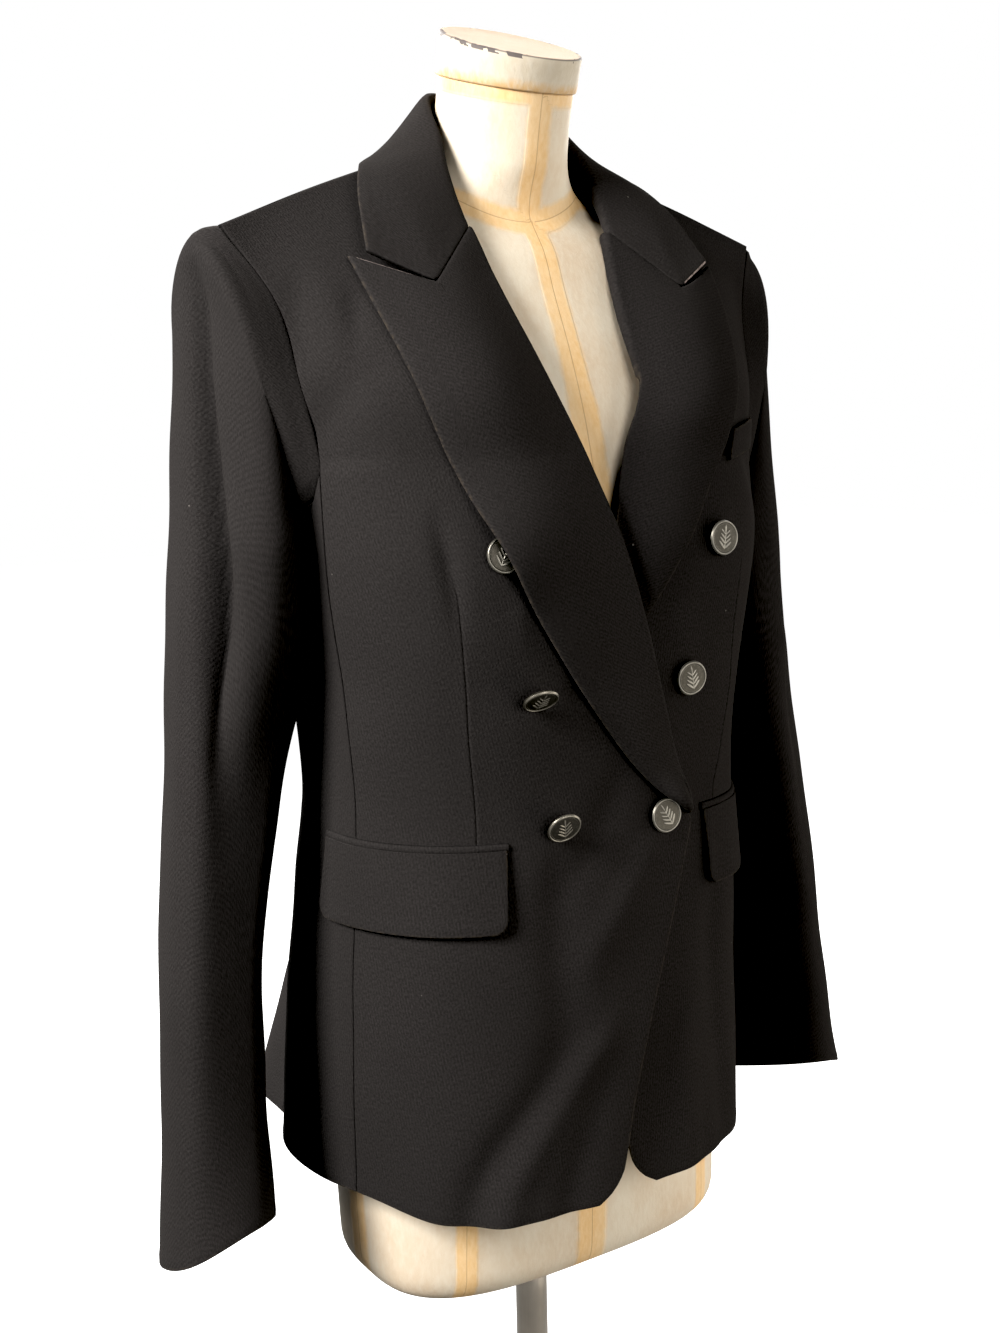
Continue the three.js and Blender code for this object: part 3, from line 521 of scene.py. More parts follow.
def wool(name, turn, painted_shade_scale=1.0):
    """Black wool twill: fine ribs broken into short yarns, a soft nap, a little lint, worn pressed edges."""
    m = Nodes(name, (0.026, 0.0225, 0.0215), 0.95, Sheen_Weight=0.04, Sheen_Roughness=0.5,
              Specular_IOR_Level=0)
    m.set("Sheen Tint", (1, 0.93, 0.88))
    weave = m.attribute("weave")
    place = m.place()
    drift = m.noise(weave, 30, 1)
    bent = m.add("VectorMath", props={"operation": "MULTIPLY_ADD"}, i0=drift, i1=(0.0013, 0.0013, 0),
                 i2=weave)
    ribs = m.add("TexWave", Vector=m.stretch(bent, (1, 1, 1), turn), Scale=150, Distortion=0.4, Detail=1,
                 Detail_Scale=1.5)
    yarn = m.noise(m.stretch(bent, (850, 560, 1), turn * 0.6), 1, 2)
    height = m.math("MULTIPLY_ADD", ribs, 0.24, m.ramp(yarn, 0.3, 0.7, 0, 0.76))
    tone = m.math("ADD", height, m.ramp(m.noise(place, 1100, 1), 0.25, 0.75, -0.15, 0.15))
    # a scale below 1 darkens the whole colour as painted shade
    low, high = ([painted_shade_scale * c for c in row] for row in ((0.0262, 0.0238, 0.0231), (0.041, 0.0375, 0.0364)))
    colour = m.blend(m.ramp(tone, 0.15, 0.95), low, high)
    cloud = m.ramp(m.noise(place, 8, 3), 0.35, 0.7, 0, 0.22)
    colour = m.blend(cloud, colour, (0.0215, 0.0196, 0.019))
    to_edge, to_seam, to_pale_strip = m.split(m.attribute("near"))
    patchy = m.ramp(m.noise(place, 260, 3, 0.6), 0.42, 0.62)
    worn = m.times(m.ramp(to_edge, 0, 0.002, 1, 0), patchy)
    colour = m.blend(m.times(worn, 0.72), colour, (0.07, 0.058, 0.046))
    # painted shade: within 0.7 mm of a seam the cloth turns near black, where shade falls in the seam's
    # groove
    painted_seam_shade = m.ramp(to_seam, 0, 0.0007, 1, 0)
    colour = m.blend(m.times(painted_seam_shade, 0.5), colour, (0.002, 0.002, 0.002))
    # a pale, patchy strip along the edges at the notches
    pale_strip = m.times(m.ramp(to_pale_strip, 0.0009, 0.0013, 1, 0), m.ramp(patchy, 0, 0.4, 0.45, 1))
    colour = m.blend(m.times(pale_strip, 0.85), colour, (0.36, 0.3, 0.28))
    cell = m.add("TexVoronoi", Scale=62, Vector=place).node.outputs
    speck = m.ramp(cell["Distance"], 0.03, 0.042, 1, 0)
    lint = m.times(speck, m.ramp(m.split(cell["Color"])[0], 0.86, 0.9))
    colour = m.blend(m.times(lint, 0.5), colour, (0.24, 0.22, 0.2))
    coarse = m.bump(m.noise(m.stretch(weave, (1, 0.5, 1)), 60, 3), 0.2, 0.001)
    return m.finish(colour, m.ramp(tone, 0, 1.2, 1, 0.88), m.bump(height, 0.45, 0.0004, Normal=coarse))


WOOL = wool("wool_twill", 0.2)
WOOL_SLEEVE = wool("wool_twill_sleeve", -0.62)
WOOL_TURNED = wool("wool_twill_turned", 0.75)
# the left lapel's copy is darker all over: painted shade, as that lapel lies in shade
WOOL_LAPEL_SHADED = wool("wool_twill_lapel_painted_shade", 1.1, 0.86)


def lining():
    """Black satin with fine threads along it."""
    m = Nodes("lining_satin", (0.012, 0.012, 0.013), 0.42, Specular_IOR_Level=0.45)
    weave = m.attribute("weave")
    thread = m.noise(m.stretch(weave, (900, 120, 1)), 1, 2)
    colour = m.blend(m.ramp(thread, 0.3, 0.7), (0.008, 0.008, 0.009), (0.017, 0.016, 0.018))
    return m.finish(colour, m.ramp(thread, 0.3, 0.7, 0.36, 0.5), m.bump(thread, 0.25, 0.0003))


LINING = lining()


# ---- body panels ----
def collar(u, v):
    """The collar from the end of one side to the other (u), from its neckline seam over the fold (v)."""
    half = np.array(COLLAR, float)
    rows = np.concatenate([half[:0:-1] * [-1, 1, 1], half])
    four = np.stack([along(np.linspace(0, 1, len(rows)), list(rows[:, k]), u) for k in range(4)])
    stops = np.array([0, 0.3, 0.62, 1])
    k = np.clip(np.searchsorted(stops, v) - 1, 0, 2)
    i = np.arange(len(u))
    w = ((v - stops[k]) / (stops[k + 1] - stops[k]))[:, None]
    straight = mix(four[k, i], four[k + 1, i], w)
    return mix(along(stops, list(four), v), straight, ease((np.abs(2 * u - 1) - 0.78) / 0.2)[:, None])


def lap_shoulder(grid):
    """Lengthens a panel by a millimetre past the shoulder line, so that the seam closes over the ridge."""
    grid[-1] += unit(grid[-1] - grid[-2])
    return grid


NECK_REACH, NECK_LOW, NECK_WIDTH = 8, 672, 16


def neck_seam(grid, sign):
    """Moves the top of a front's inner edge onto the collar's seam, where it is sewn in the real coat."""
    seam = collar(0.5 + sign * np.linspace(0.28, 0.5, 60), np.zeros(60))
    edge = grid[:, 0]
    gap = seam[None] - edge[:, None]
    nearest = gap[np.arange(len(edge)), np.linalg.norm(gap, axis=-1).argmin(1)]
    size = np.linalg.norm(nearest, axis=-1)
    share = ease((edge[:, 2] - NECK_LOW) / 16) * np.clip(NECK_REACH / np.maximum(size, 1e-6), 0, 1)
    fade = 1 - ease(runs(grid, 1)[0] / NECK_WIDTH)
    return grid + (nearest * share[:, None])[:, None] * fade[..., None]


def front_edge(h):
    """How far round a front reaches at height h; positive is past the centre."""
    h = np.asarray(h, float)
    curved = EDGE["z"][-1]
    x = np.where(h > curved, mix(edge_x(h), roll_x(h), ease((h - curved) / 12)), edge_x(h))
    a = np.zeros_like(h)
    for _ in range(20):
        a = a + (x - ring(a, np.minimum(h, ARMHOLE))[..., 0]) / 2.1
    return np.where(h >= ARMHOLE, -10.0, a)


def bow(h):
    """1 where the left front's roll bows out most, and less above and below."""
    return hump(h - BOW_AT, BOW_HALF)


def under(a, h):
    """How far out the left front lies, which is under the right one, so below nought."""
    return -UNDERLAP * (1 - ease((a - 30) / 26)) * (1 - ease((h - 575) / 70))


def lift(h, a):
    """The height h with the hem's rise towards the sides."""
    turn = np.abs(a)
    rise = np.where(a > 0, 20, 10) * ease((turn - 45) / 35) * (1 - ease((turn - 105) / 40))
    return h + rise * (1 - ease((h - HEM) / 110))


def underarm(q):
    """Height of the armhole's lower edge, for q from -1 to 1 across it."""
    return UNDERARM + (ARMHOLE - UNDERARM) * (0.55 * q**2 + 0.45 * np.abs(q) ** 6)


# the darts' angles round the body at heights z
DARTS = {
    "right": {"z": [68, 319, 376, 418, 467, 488, 512, 560, 700],
              "a": [-43, -45, -46, -46, -46.6, -48.3, -50, -52, -54]},
    "left": {"z": [68, 316, 345, 386, 434, 471, 500, 560, 700], "a": [42, 43, 47, 49.5, 47, 47, 48, 50, 52]},
}
DART_LOW, DART_TOP = 302, {"right": 476, "left": 474}
rows_up = HEM + (TOP - HEM) * steps(640, 4.5)


def front(side, sign):
    columns = steps(260, 4.2, middle=0.5)
    u, h = np.meshgrid(columns, rows_up)
    begin = front_edge(h) if sign < 0 else 4.5 * bow(h) - front_edge(h)
    dart = curves(DARTS[side])["a"](h)
    a = np.where(u < 0.5, mix(begin, dart, u * 2), mix(dart, sign * FRONT_SEAM, u * 2 - 1))
    grid = lap_shoulder(neck_seam(surface(a, lift(h, a)).reshape(*u.shape, 3), sign))
    base = under(a, h) if sign > 0 else 0
    across = runs(grid, 1)[0]
    cut = across - across[:, np.argmin(np.abs(columns - 0.5))][:, None]
    sewn = ease((DART_TOP[side] + 8 - h) / 16) * ease((h - DART_LOW + 6) / 12)
    relief = folds(grid, FOLDS[f"front_{side}"]) + ripple(grid)
    relief = relief - sewn * (0.65 * hump(cut, 0.55) - 0.35 * hump(cut, 5))
    cloth(f"front_{side}", grid, CLOTH, "fsfs", base + relief, face_strip=60)


def side_body(side, sign):
    u, v = np.meshgrid(steps(105, 4.2), steps(460, 4.5))
    h = mix(HEM, underarm(2 * u - 1), v)
    a = sign * mix(FRONT_SEAM, back_seam(h), u)
    grid = ring(a, lift(h, a))
    relief = folds(grid * [-sign, 1, 1], FOLDS["side_right"]) + ripple(grid)
    cloth(f"side_{side}", grid, CLOTH, "ssfs", relief, face_strip=40)


def back(side, sign):
    u, h = np.meshgrid(steps(210, 4.5), rows_up)
    a = sign * mix(back_seam(np.minimum(h, ARMHOLE)), 180, u)
    grid = lap_shoulder(surface(a, lift(h, a)).reshape(*u.shape, 3))
    relief = folds(grid * [sign, 1, 1], FOLDS["back"]) + ripple(grid)
    cloth(f"back_{side}", grid, CLOTH, "ssfs", relief, face_strip=40)


for side, sign in SIDES:
    front(side, sign)
    side_body(side, sign)
    back(side, sign)


# ---- sleeves ----
def armhole_line():
    """Points round the armhole, and how far along it each one is, from 0 to 1."""
    q = np.linspace(0, 1, 61)
    line = np.vstack([
        surface(FRONT_SEAM, mix(TOP, ARMHOLE, q)),
        ring(mix(FRONT_SEAM, BACK_SEAM, q[1:-1]), underarm(mix(-1, 1, q[1:-1]))),
        surface(BACK_SEAM, mix(ARMHOLE, TOP, q)),
    ])
    length = np.concatenate([[0], np.cumsum(np.linalg.norm(np.diff(line, axis=0), axis=1))])
    keep = np.concatenate([[True], np.diff(length) > 1e-6])
    return length[keep] / length[-1], line[keep]


hole_at, hole_line = armhole_line()
OVALS = range(2, 11)  # the sleeve table's sections, after the armhole and the sleeve head
tube = {name: through(OVALS, values) for name, values in SLEEVE.items()}


def oval(t, s):
    """A point t round the sleeve's section s."""
    a = t * 2 * np.pi
    power = np.where((t > 0.25) & (t < 0.5), 1 - tube["square"](s), 1)
    w = 0.5 + 0.5 * np.sign(np.cos(a)) * np.abs(np.cos(a)) ** power
    y = tube["mid_y"](s) - tube["half_y"](s) * np.sign(np.sin(a)) * np.abs(np.sin(a)) ** power
    x = mix(tube["in_x"](s), tube["out_x"](s), w) - tube["skew"](s) * (0.5 + 0.5 * np.sin(a)) ** 1.5
    return xyz(x, y, mix(tube["in_z"](s), tube["out_z"](s), w) + tube["drop"](s) * np.sin(a))


def sleeve(t, s):
    """The same on the whole sleeve, from the armhole, s = 0, over the head to the cuff."""
    t, s = (x.ravel() for x in np.broadcast_arrays(t % 1, s))
    start = along(hole_at, hole_line, t) - [0.6, 0, 0]
    rings = [oval(t, np.full(len(t), k)) for k in OVALS]
    head = mix(start, rings[0], 0.5) + xyz(2.5, 0, 3.2 * np.maximum(0, np.cos(t * 2 * np.pi)))
    return along(range(11), [start, head, *rings], s)


# The right sleeve's lower front hangs flat. u and w are level directions, PRESS_TURN degrees from x and -y.
# At heights z the ridge's u and the flat cloth's w, the share pressed, and how much narrower it is inside.
PRESS_TURN, PRESS_SLOPE, PRESS_SOFT = 33.3, 0.78, 9
PRESS = {
    "z": [40, 106, 168, 290, 350, 400, 440, 500],
    "u": [-210, -207, -204, -198, -195, -193, -192, -191],
    "w": [173, 168, 162, 151, 147, 141, 136, 129],
    "share": [0.4, 0.72, 0.95, 1, 0.95, 0.6, 0.28, 0],
    "narrow": [3.7, 6, 6, 6.5, 9, 8, 4, 0],
}
press = curves(PRESS)


def flatten(p, t):
    """Presses the right sleeve's front: past the ridge down its outer side the cloth falls back."""
    c, s = math.cos(math.radians(PRESS_TURN)), math.sin(math.radians(PRESS_TURN))
    u, w = p[..., 0] * c - p[..., 1] * s, -p[..., 0] * s - p[..., 1] * c
    z = np.clip(p[..., 2], PRESS["z"][0], PRESS["z"][-1])
    past = u - press["u"](z)
    limit = press["w"](z) - PRESS_SLOPE * past - 15 * ease((t - 0.27) / 0.15)
    over = (w - limit) / PRESS_SOFT
    change = (limit - PRESS_SOFT * (np.logaddexp(0, over) - over) - w) * np.clip(press["share"](z), 0, 1)
    change = change * ease((past + 30) / 24)
    narrow = np.maximum(press["narrow"](z), 0) * ease(past / 50)
    return p + change[..., None] * np.array([-s, -c, 0]) - narrow[..., None] * np.array([c, -s, 0])


# where each piece starts and ends round the sleeve, and about how wide it is
SLEEVE_PARTS = {"top": (-0.3025, 0.363, 250), "under": (0.363, 0.6975, 130)}
section = through([0, 0.06, 0.15, 0.25, 1], [0, 0.55, 1.3, 2.2, 10])
for side, sign in SIDES:
    for part, (start, end, width) in SLEEVE_PARTS.items():
        u, v = np.meshgrid(steps(width, 4.2), steps(600, 4.5))
        t = mix(start, end, u)
        grid = sleeve(t, section(v)).reshape(*u.shape, 3) * [sign, 1, 1]
        rounds = [sleeve(np.full(len(v), k), section(v[:, 0])) for k in (0, 0.25, 0.5, 0.75)]
        away = grid - (np.mean(rounds, 0) * [sign, 1, 1])[:, None]
        relief = folds(grid, FOLDS[f"sleeve_{side}"]) + ripple(grid, 0.5)
        if sign < 0:
            grid = flatten(grid, t)
        cloth(f"{part}_sleeve_{side}", grid, CLOTH, "sssf", relief, WOOL_SLEEVE, away, face_strip=45)

# ---- lapels and collar ----
notch_at = (NOTCH[0] - GORGE[0]) / (PEAK[0] - GORGE[0])


def lapel_points(side, sign, s, t):
    """Middle of the lapel's underside and its distance off: s from the roll line to the edge, t up it."""
    foot = LAPEL_FOOT[side]
    z_roll, z_outer = mix(foot, GORGE[1], t), mix(foot + 4, PEAK[1], t)
    dip = np.where(s < notch_at, s / notch_at, (1 - s) / (1 - notch_at))
    flat = mix(GORGE[1], PEAK[1], notch_at)
    roll = roll_x(z_roll) - (9 * bow(z_roll) if sign > 0 else 0)
    x = mix(roll, through(LAPEL["z"], LAPEL[side])(z_outer), s)
    z = mix(z_roll, z_outer, s) - dip * (flat - NOTCH[1]) * t**9
    a, h = locate(-sign * x, z)
    close = CLOTH + 0.5
    swell = 4.4 * np.sin(np.pi * np.clip(s * 0.84 + 0.04, 0, 1))
    if sign < 0:
        over_button = 8 * hump(np.hypot(x + 84, z - 493), 30)
        return surface(a, h), close + swell + over_button + 5.2 * hump(np.hypot(x - 44, z - 325), 16)
    free = np.where(z > ARMHOLE, 1, ease((-x - roll_x(z) - 4) / 26))
    return surface(a, h), close + swell * free + under(a, z)


def lapel(side, sign):
    s_marks = steps(85, 3.6, fine=(0.0, 1.2, 2.4), middle=notch_at)
    u, t = np.meshgrid(s_marks, steps(420, 4.2))
    p, off = lapel_points(side, sign, u.ravel(), t.ravel())
    p, off = p.reshape(*u.shape, 3), off.reshape(u.shape)
    n = normals(p)
    grid = p + n * off[..., None]
    # along the gorge the lapel's top edge meets the end of the collar
    reach = np.clip(s_marks / notch_at, 0, 1)
    seam_at = collar(np.full(len(reach), 0.0 if sign < 0 else 1.0), 0.3 + 0.32 * reach)
    pull = (seam_at - grid[-1]) * (1 - ease((s_marks - notch_at) / 0.16))[:, None]
    grid = grid + pull * ease((t - 0.93) / 0.07)[..., None]
    # the cloth rolls over the front edge and back under it
    beyond = grid[:, 0] - grid[:, 1]
    beyond = unit(beyond - (beyond * n[:, 0]).sum(-1, keepdims=True) * n[:, 0])
    radius = (off[:, 0] + CLOTH + TURNED / 2)[:, None] / 2
    angles = np.radians([165, 140, 115, 90, 65, 40, 18])
    turnover = [grid[:, 0] + radius * (n[:, 0] * (math.cos(a) - 1) + beyond * math.sin(a)) for a in angles]
    grid = np.concatenate([np.stack(turnover, 1), grid], 1)
    at = np.concatenate([np.zeros(len(angles)), s_marks])
    strip = np.where((at > notch_at + 0.12) & (at < 0.97) & (sign < 0), runs(grid, 0)[1], FAR)
    # the left lapel takes the darker copy of the wool, whose colour carries painted shade
    outer = WOOL_TURNED if sign < 0 else WOOL_LAPEL_SHADED
    cloth(f"lapel_{side}", grid, TURNED, "fffs", ripple(grid, 0.3), outer, strip=strip)


for side, sign in SIDES:
    lapel(side, sign)
u, v = np.meshgrid(steps(420, 4.2), steps(92, 3.4))
grid = collar(u.ravel(), v.ravel()).reshape(*u.shape, 3)
away = grid - (grid[0] + grid[-1]) / 2
away[..., 2] += 30 * np.where(v > 0.2, 1, 0.4)
strip = np.where((v > 0.67) & (v < 0.985), runs(grid, 1)[1], FAR)
cloth("collar", grid, TURNED, "sshf", ripple(grid, 0.25), WOOL_TURNED, away, strip=strip)

# ---- pockets ----
FLAP = {"from": 37.5, "to": 87, "low": 257, "high": 309, "corner": 10.5}
JET = {"from": 37.2, "to": 87.2, "low": 308, "high": 313.6, "swell": 1.1}
WELT_X, WELT_LOW, WELT_HIGH = (103, 145), (540, 548), (561, 568)


def pocket_grid(sign, at, u, v, rise=0):
    """Points over a pocket's place, and how far the front there lies back under the other one."""
    a = mix(at["from"], at["to"], u)
    grid = ring(sign * a, mix(at["low"] + rise, at["high"], v))
    return grid, under(a, JET["low"]) if sign > 0 else 0


for side, sign in SIDES:
    u, v = np.meshgrid(steps(150, 3.2), steps(50, 3.2))
    q = np.clip((np.abs(u * 2 - 1) - 0.87) / 0.13, 0, 1)
    grid, inset = pocket_grid(sign, FLAP, u, v, FLAP["corner"] * (1 - np.sqrt(1 - 0.98 * q * q)))
    base = CLOTH + 0.4 + 2.4 * (1 - v) + inset
    relief = folds(grid, FOLDS[f"front_{side}"]) * 0.6 + ripple(grid, 0.3)
    cloth(f"flap_{side}", grid, TURNED, "fffh", base + relief)
    u, v = np.meshgrid(steps(150, 3.2), np.linspace(0, 1, 9))
    grid, inset = pocket_grid(sign, JET, u, v)
    base = CLOTH * 0.6 + JET["swell"] * np.sqrt(np.clip(1 - (2 * v - 1) ** 2, 0, 1)) + inset
    cloth(f"jet_{side}", grid, CLOTH, "hhss", base + ripple(grid, 0.15))
u, v = np.meshgrid(steps(45, 3), steps(22, 3))
x = mix(WELT_X[0] + 7 * v, WELT_X[1], u)
z = mix(mix(*WELT_LOW, u), mix(*WELT_HIGH, u), v)
grid = surface(*locate(x.ravel(), z.ravel())).reshape(*u.shape, 3)
cloth("chest_welt", grid, TURNED, "ffff", CLOTH + 0.5 + ripple(grid, 0.2))


# ---- dress form ----
def papier():
    """Cream, weathered paper over a moulded body, with tan tape over its seams and a fine line down each."""
    m = Nodes("form_canvas", (0.76, 0.68, 0.55), 0.6, Specular_IOR_Level=0.2)
    place = m.place()
    from_edge, from_middle, _ = m.split(m.attribute("tape"))
    fibre = m.noise(m.stretch(place, (1, 1, 0.4)), 330, 5, 0.65)
    patch = m.noise(m.stretch(place, (1, 1, 0.6)), 24, 4, 0.6)
    cream = m.blend(m.ramp(patch, 0.36, 0.64), (0.575, 0.47, 0.35), (0.64, 0.57, 0.46))
    cream = m.blend(m.ramp(fibre, 0.42, 0.78, 0, 0.45), cream, (0.69, 0.64, 0.55))
    cream = m.blend(m.ramp(m.noise(place, 900, 1), 0.62, 0.78, 0, 0.22), cream, (0.52, 0.42, 0.31))
    gold = m.blend(m.ramp(fibre, 0.3, 0.7), (0.66, 0.435, 0.205), (0.73, 0.53, 0.3))
    gold = m.blend(m.ramp(patch, 0.45, 0.75, 0, 0.5), gold, (0.71, 0.585, 0.41))
    ragged = m.math("MULTIPLY_ADD", m.noise(place, 150, 4, 0.65), 0.0046, -0.0023)
    edge = m.math("ADD", from_edge, ragged)
    colour = m.blend(m.ramp(edge, -0.002, 0.0022, 0.92, 0), cream, gold)
    line = m.ramp(m.math("ABSOLUTE", from_middle), 0.0001, 0.00055, 1, 0)
    colour = m.blend(m.times(line, 0.42), colour, (0.2, 0.1, 0.05))
    raised = m.ramp(from_edge, -0.0004, 0.0004, 0.8, 0)
    height = m.math("ADD", fibre, m.math("SUBTRACT", raised, m.times(line, 0.6)))
    return m.finish(colour, m.ramp(fibre, 0.3, 0.7, 0.5, 0.68), m.bump(height, 0.4, 0.0006))


form = curves(FORM)
FORM_TOP, CAP_LEAN = FORM["z"][-1], math.radians(FORM["lean"][-1])


def form_ring(z, a):
    """The form's section at height z, leaning forward towards the top, a degrees round from the front."""
    s, c = np.sin(np.radians(a)), np.cos(np.radians(a))
    depth = np.where(c > 0, form["front"](z), form["back"](z))
    r = superellipse(s, c, form["side"](z), depth, form["power"](z))
    lean = np.radians(form["lean"](z))
    return xyz(r * s, form["mid"](z) - r * c * np.cos(lean), z - r * c * np.sin(lean))


def closed(rings):
    """Points and faces of a solid through the rings (rows, steps, 3), with a fan over each end."""
    number = np.arange(rings[..., 0].size).reshape(rings.shape[:2])
    after = np.roll(number, -1, 1)
    faces = np.stack([number[:-1], after[:-1], after[1:], number[1:]], -1).reshape(-1, 4).tolist()
    faces += [[j, i, number.size] for i, j in zip(number[0], after[0])]
    faces += [[i, j, number.size + 1] for i, j in zip(number[-1], after[-1])]
    return np.vstack([rings.reshape(-1, 3), rings[0].mean(0), rings[-1].mean(0)]), faces


TAPE_LINES = {
    "z": [-9, 60, 200, 335, 420, 497, 600, 700],
    "front": [99, 97, 84, 64, 70, 80, 95, 88],
    "back": [70, 70, 62, 50, 56, 64, 78, 84],
}
NO_TAPE = 400.0


def tapes(p):
    """Signed distance out of the nearest tape's edge, and from the line down its middle."""
    x, y, z = p.T
    line = {name: curve(z) for name, curve in curves(TAPE_LINES).items()}
    front = y < form["mid"](z)
    slant = np.where(front, 4 * (1 - ease(z / 200)), 0)
    # each tape: the distance from its middle, half its width, and where it is
    rows = [
        (x + slant, mix(11.5, 8.7, ease((z - 560) / 60)), z < 784),
        (z - 696 - 15 * np.minimum(((x + 5) / 45) ** 2, 1.3), 8.2, z > 640),
        (z - (786.5 + 0.306 * y), 9.0, z > 720),
    ]
    wide = 1 + 0.55 * (np.abs(x) / 98) ** 2
    for _, sign in SIDES:
        princess = np.where(front, line["front"] + (4 if sign > 0 else 0), line["back"])
        rows.append(((sign * x - princess) * wide, 10.5, (sign * x > 20) & (z < np.where(front, 430, 692))))
        rows.append((y - form["mid"](z), 10.5, (sign * x > 30) & (z < 692)))
    gap = np.stack([np.where(on, d, NO_TAPE) for d, w, on in rows])
    out = np.stack([np.where(on, np.abs(d) - w, NO_TAPE) for d, w, on in rows]).min(0)
    nearest = np.argmin(np.abs(gap), 0)
    return xyz(out, gap[nearest, np.arange(len(x))], 0) / 1000


z_marks = [-9, -8.4, -7.5, -6, -4, -2, 1, 5, *np.arange(10, 660, 6), *np.arange(660, FORM_TOP, 2.5), FORM_TOP]
zz, aa = np.meshgrid(np.unique(z_marks), np.linspace(0, 360, 180, endpoint=False), indexing="ij")
points, faces = closed(form_ring(zz, aa))
piece("dress_form_body", points, faces, [papier()], "dress_form", {"tape": tapes(points)})

CAP_RADIUS, CAP_HEIGHT, RIM_ROW = 46.5, 25, 8
# radius and height up the cap; from RIM_ROW on it is the top
CAP_ROWS = [(45.4, 0.05), (46.1, 0.4), *((CAP_RADIUS, up) for up in (1.5, 6, 12, 18, 23.4)), (46.2, 24.4),
            (45.4, CAP_HEIGHT), (43.5, CAP_HEIGHT), (40, 24.6), (30, 24.5), (15, 24.5)]
ROUND = np.linspace(0, 2 * np.pi, 96, endpoint=False)


def cap_ring(radius, up):
    x, forward = radius * np.sin(ROUND), radius * np.cos(ROUND)
    y, z = -forward * math.cos(CAP_LEAN), FORM_TOP - forward * math.sin(CAP_LEAN)
    z = z - 0.09 * forward * min(up / CAP_HEIGHT, 1)
    return xyz(x, y - up * math.sin(CAP_LEAN), z + up * math.cos(CAP_LEAN))


def cap_facts(row, radius, up):
    """Height up the side, distance in from the rim, and distance from the rim either way."""
    if row < RIM_ROW:
        return [up, 0, up - CAP_HEIGHT]
    return [up, CAP_RADIUS - radius, CAP_RADIUS - radius]


def cap_material():
    """The cap's papered side and top, with a chipped black rim."""
    m = Nodes("form_cap", (0.74, 0.66, 0.54), 0.6, Specular_IOR_Level=0.2)
    place = m.place()
    up, inward, from_rim = m.split(m.attribute("tape"))
    wrinkle = m.noise(m.stretch(place, (1, 1, 0.35)), 300, 5, 0.7)
    ragged = m.math("MULTIPLY_ADD", m.noise(place, 120, 3), 0.006, -0.003)
    low = m.ramp(m.math("ADD", up, ragged), 0.0025, 0.0085)
    side = m.blend(low, (0.56, 0.385, 0.205), (0.52, 0.46, 0.365))
    side = m.blend(m.ramp(wrinkle, 0.42, 0.75, 0, 0.6), side, (0.6, 0.56, 0.485))
    top = m.blend(m.noise(place, 55, 4), (0.56, 0.41, 0.29), (0.64, 0.51, 0.38))
    top = m.blend(m.ramp(m.noise(place, 800, 1), 0.3, 0.7, 0, 0.25), top, (0.6, 0.505, 0.395))
    colour = m.blend(m.ramp(inward, 0, 0.0012), side, top)
    chip = m.ramp(m.noise(place, 62, 3, 0.65), 0.53, 0.57)
    rim = m.times(m.ramp(m.math("ABSOLUTE", from_rim), 0.0008, 0.0046, 1, 0), chip)
    rim = m.ramp(rim, 0.42, 0.55)
    thin = m.ramp(m.math("ABSOLUTE", from_rim), 0.0005, 0.0013, 1, 0)
    worn = m.math("MAXIMUM", m.times(thin, 0.75), m.times(rim, 0.9))
    colour = m.blend(worn, colour, (0.085, 0.072, 0.075))
    return m.finish(colour, 0.6, m.bump(m.math("SUBTRACT", wrinkle, rim), 0.5, 0.0008))


points, faces = closed(np.stack([cap_ring(*row) for row in CAP_ROWS]))
facts = np.repeat([cap_facts(k, *row) for k, row in enumerate(CAP_ROWS)], len(ROUND), 0)
facts = np.vstack([facts, [[0, 0, -CAP_HEIGHT], [25, 46, 46]]]) / 1000
piece("neck_cap_shell", points, faces, [cap_material()], "neck_cap", {"tape": facts})


# ---- stand ----
def metal():
    """Dark brushed steel with faint blotches."""
    m = Nodes("stand_metal", (0.15, 0.135, 0.115), 0.42, Metallic=0.8)
    place = m.place()
    brushed = m.noise(m.stretch(place, (1, 1, 0.03)), 900, 3)
    blotch = m.noise(place, 22, 3)
    colour = m.blend(m.ramp(blotch, 0.3, 0.7), (0.19, 0.168, 0.139), (0.27, 0.245, 0.21))
    return m.finish(colour, m.ramp(brushed, 0.3, 0.7, 0.34, 0.52), m.bump(brushed, 0.12, 0.0002))


METAL = metal()
# radius and height above the floor
POLE = [(10.4, 16), (11.1, 16.3), (11.5, 17), (11.5, 200), (11.5, 400), (11.5, 600), (11.5, 655.9)]
BASE = [(176, 0), (178.6, 0.5), (179.7, 1.6), (180, 3), (180, 9), (179.4, 10.6), (178, 12), (174, 13.1),
        (120, 15.6), (60, 18), (26, 19.6), (22.6, 20.4), (21.2, 22), (20.3, 28), (19.8, 32.5), (18.8, 33.7),
        (17.5, 34), (12.4, 34), (11.7, 33.4), (11.7, 15.8)]


def lathe(node, profile, count):
    a = np.linspace(0, 2 * np.pi, count, endpoint=False)
    points, faces = closed(np.stack([xyz(r * np.cos(a), r * np.sin(a), z - LEVEL) for r, z in profile]))
    piece(f"stand_{node}", points, faces, [METAL], node, {})


lathe("pole", POLE, 96)
lathe("base", BASE, 128)


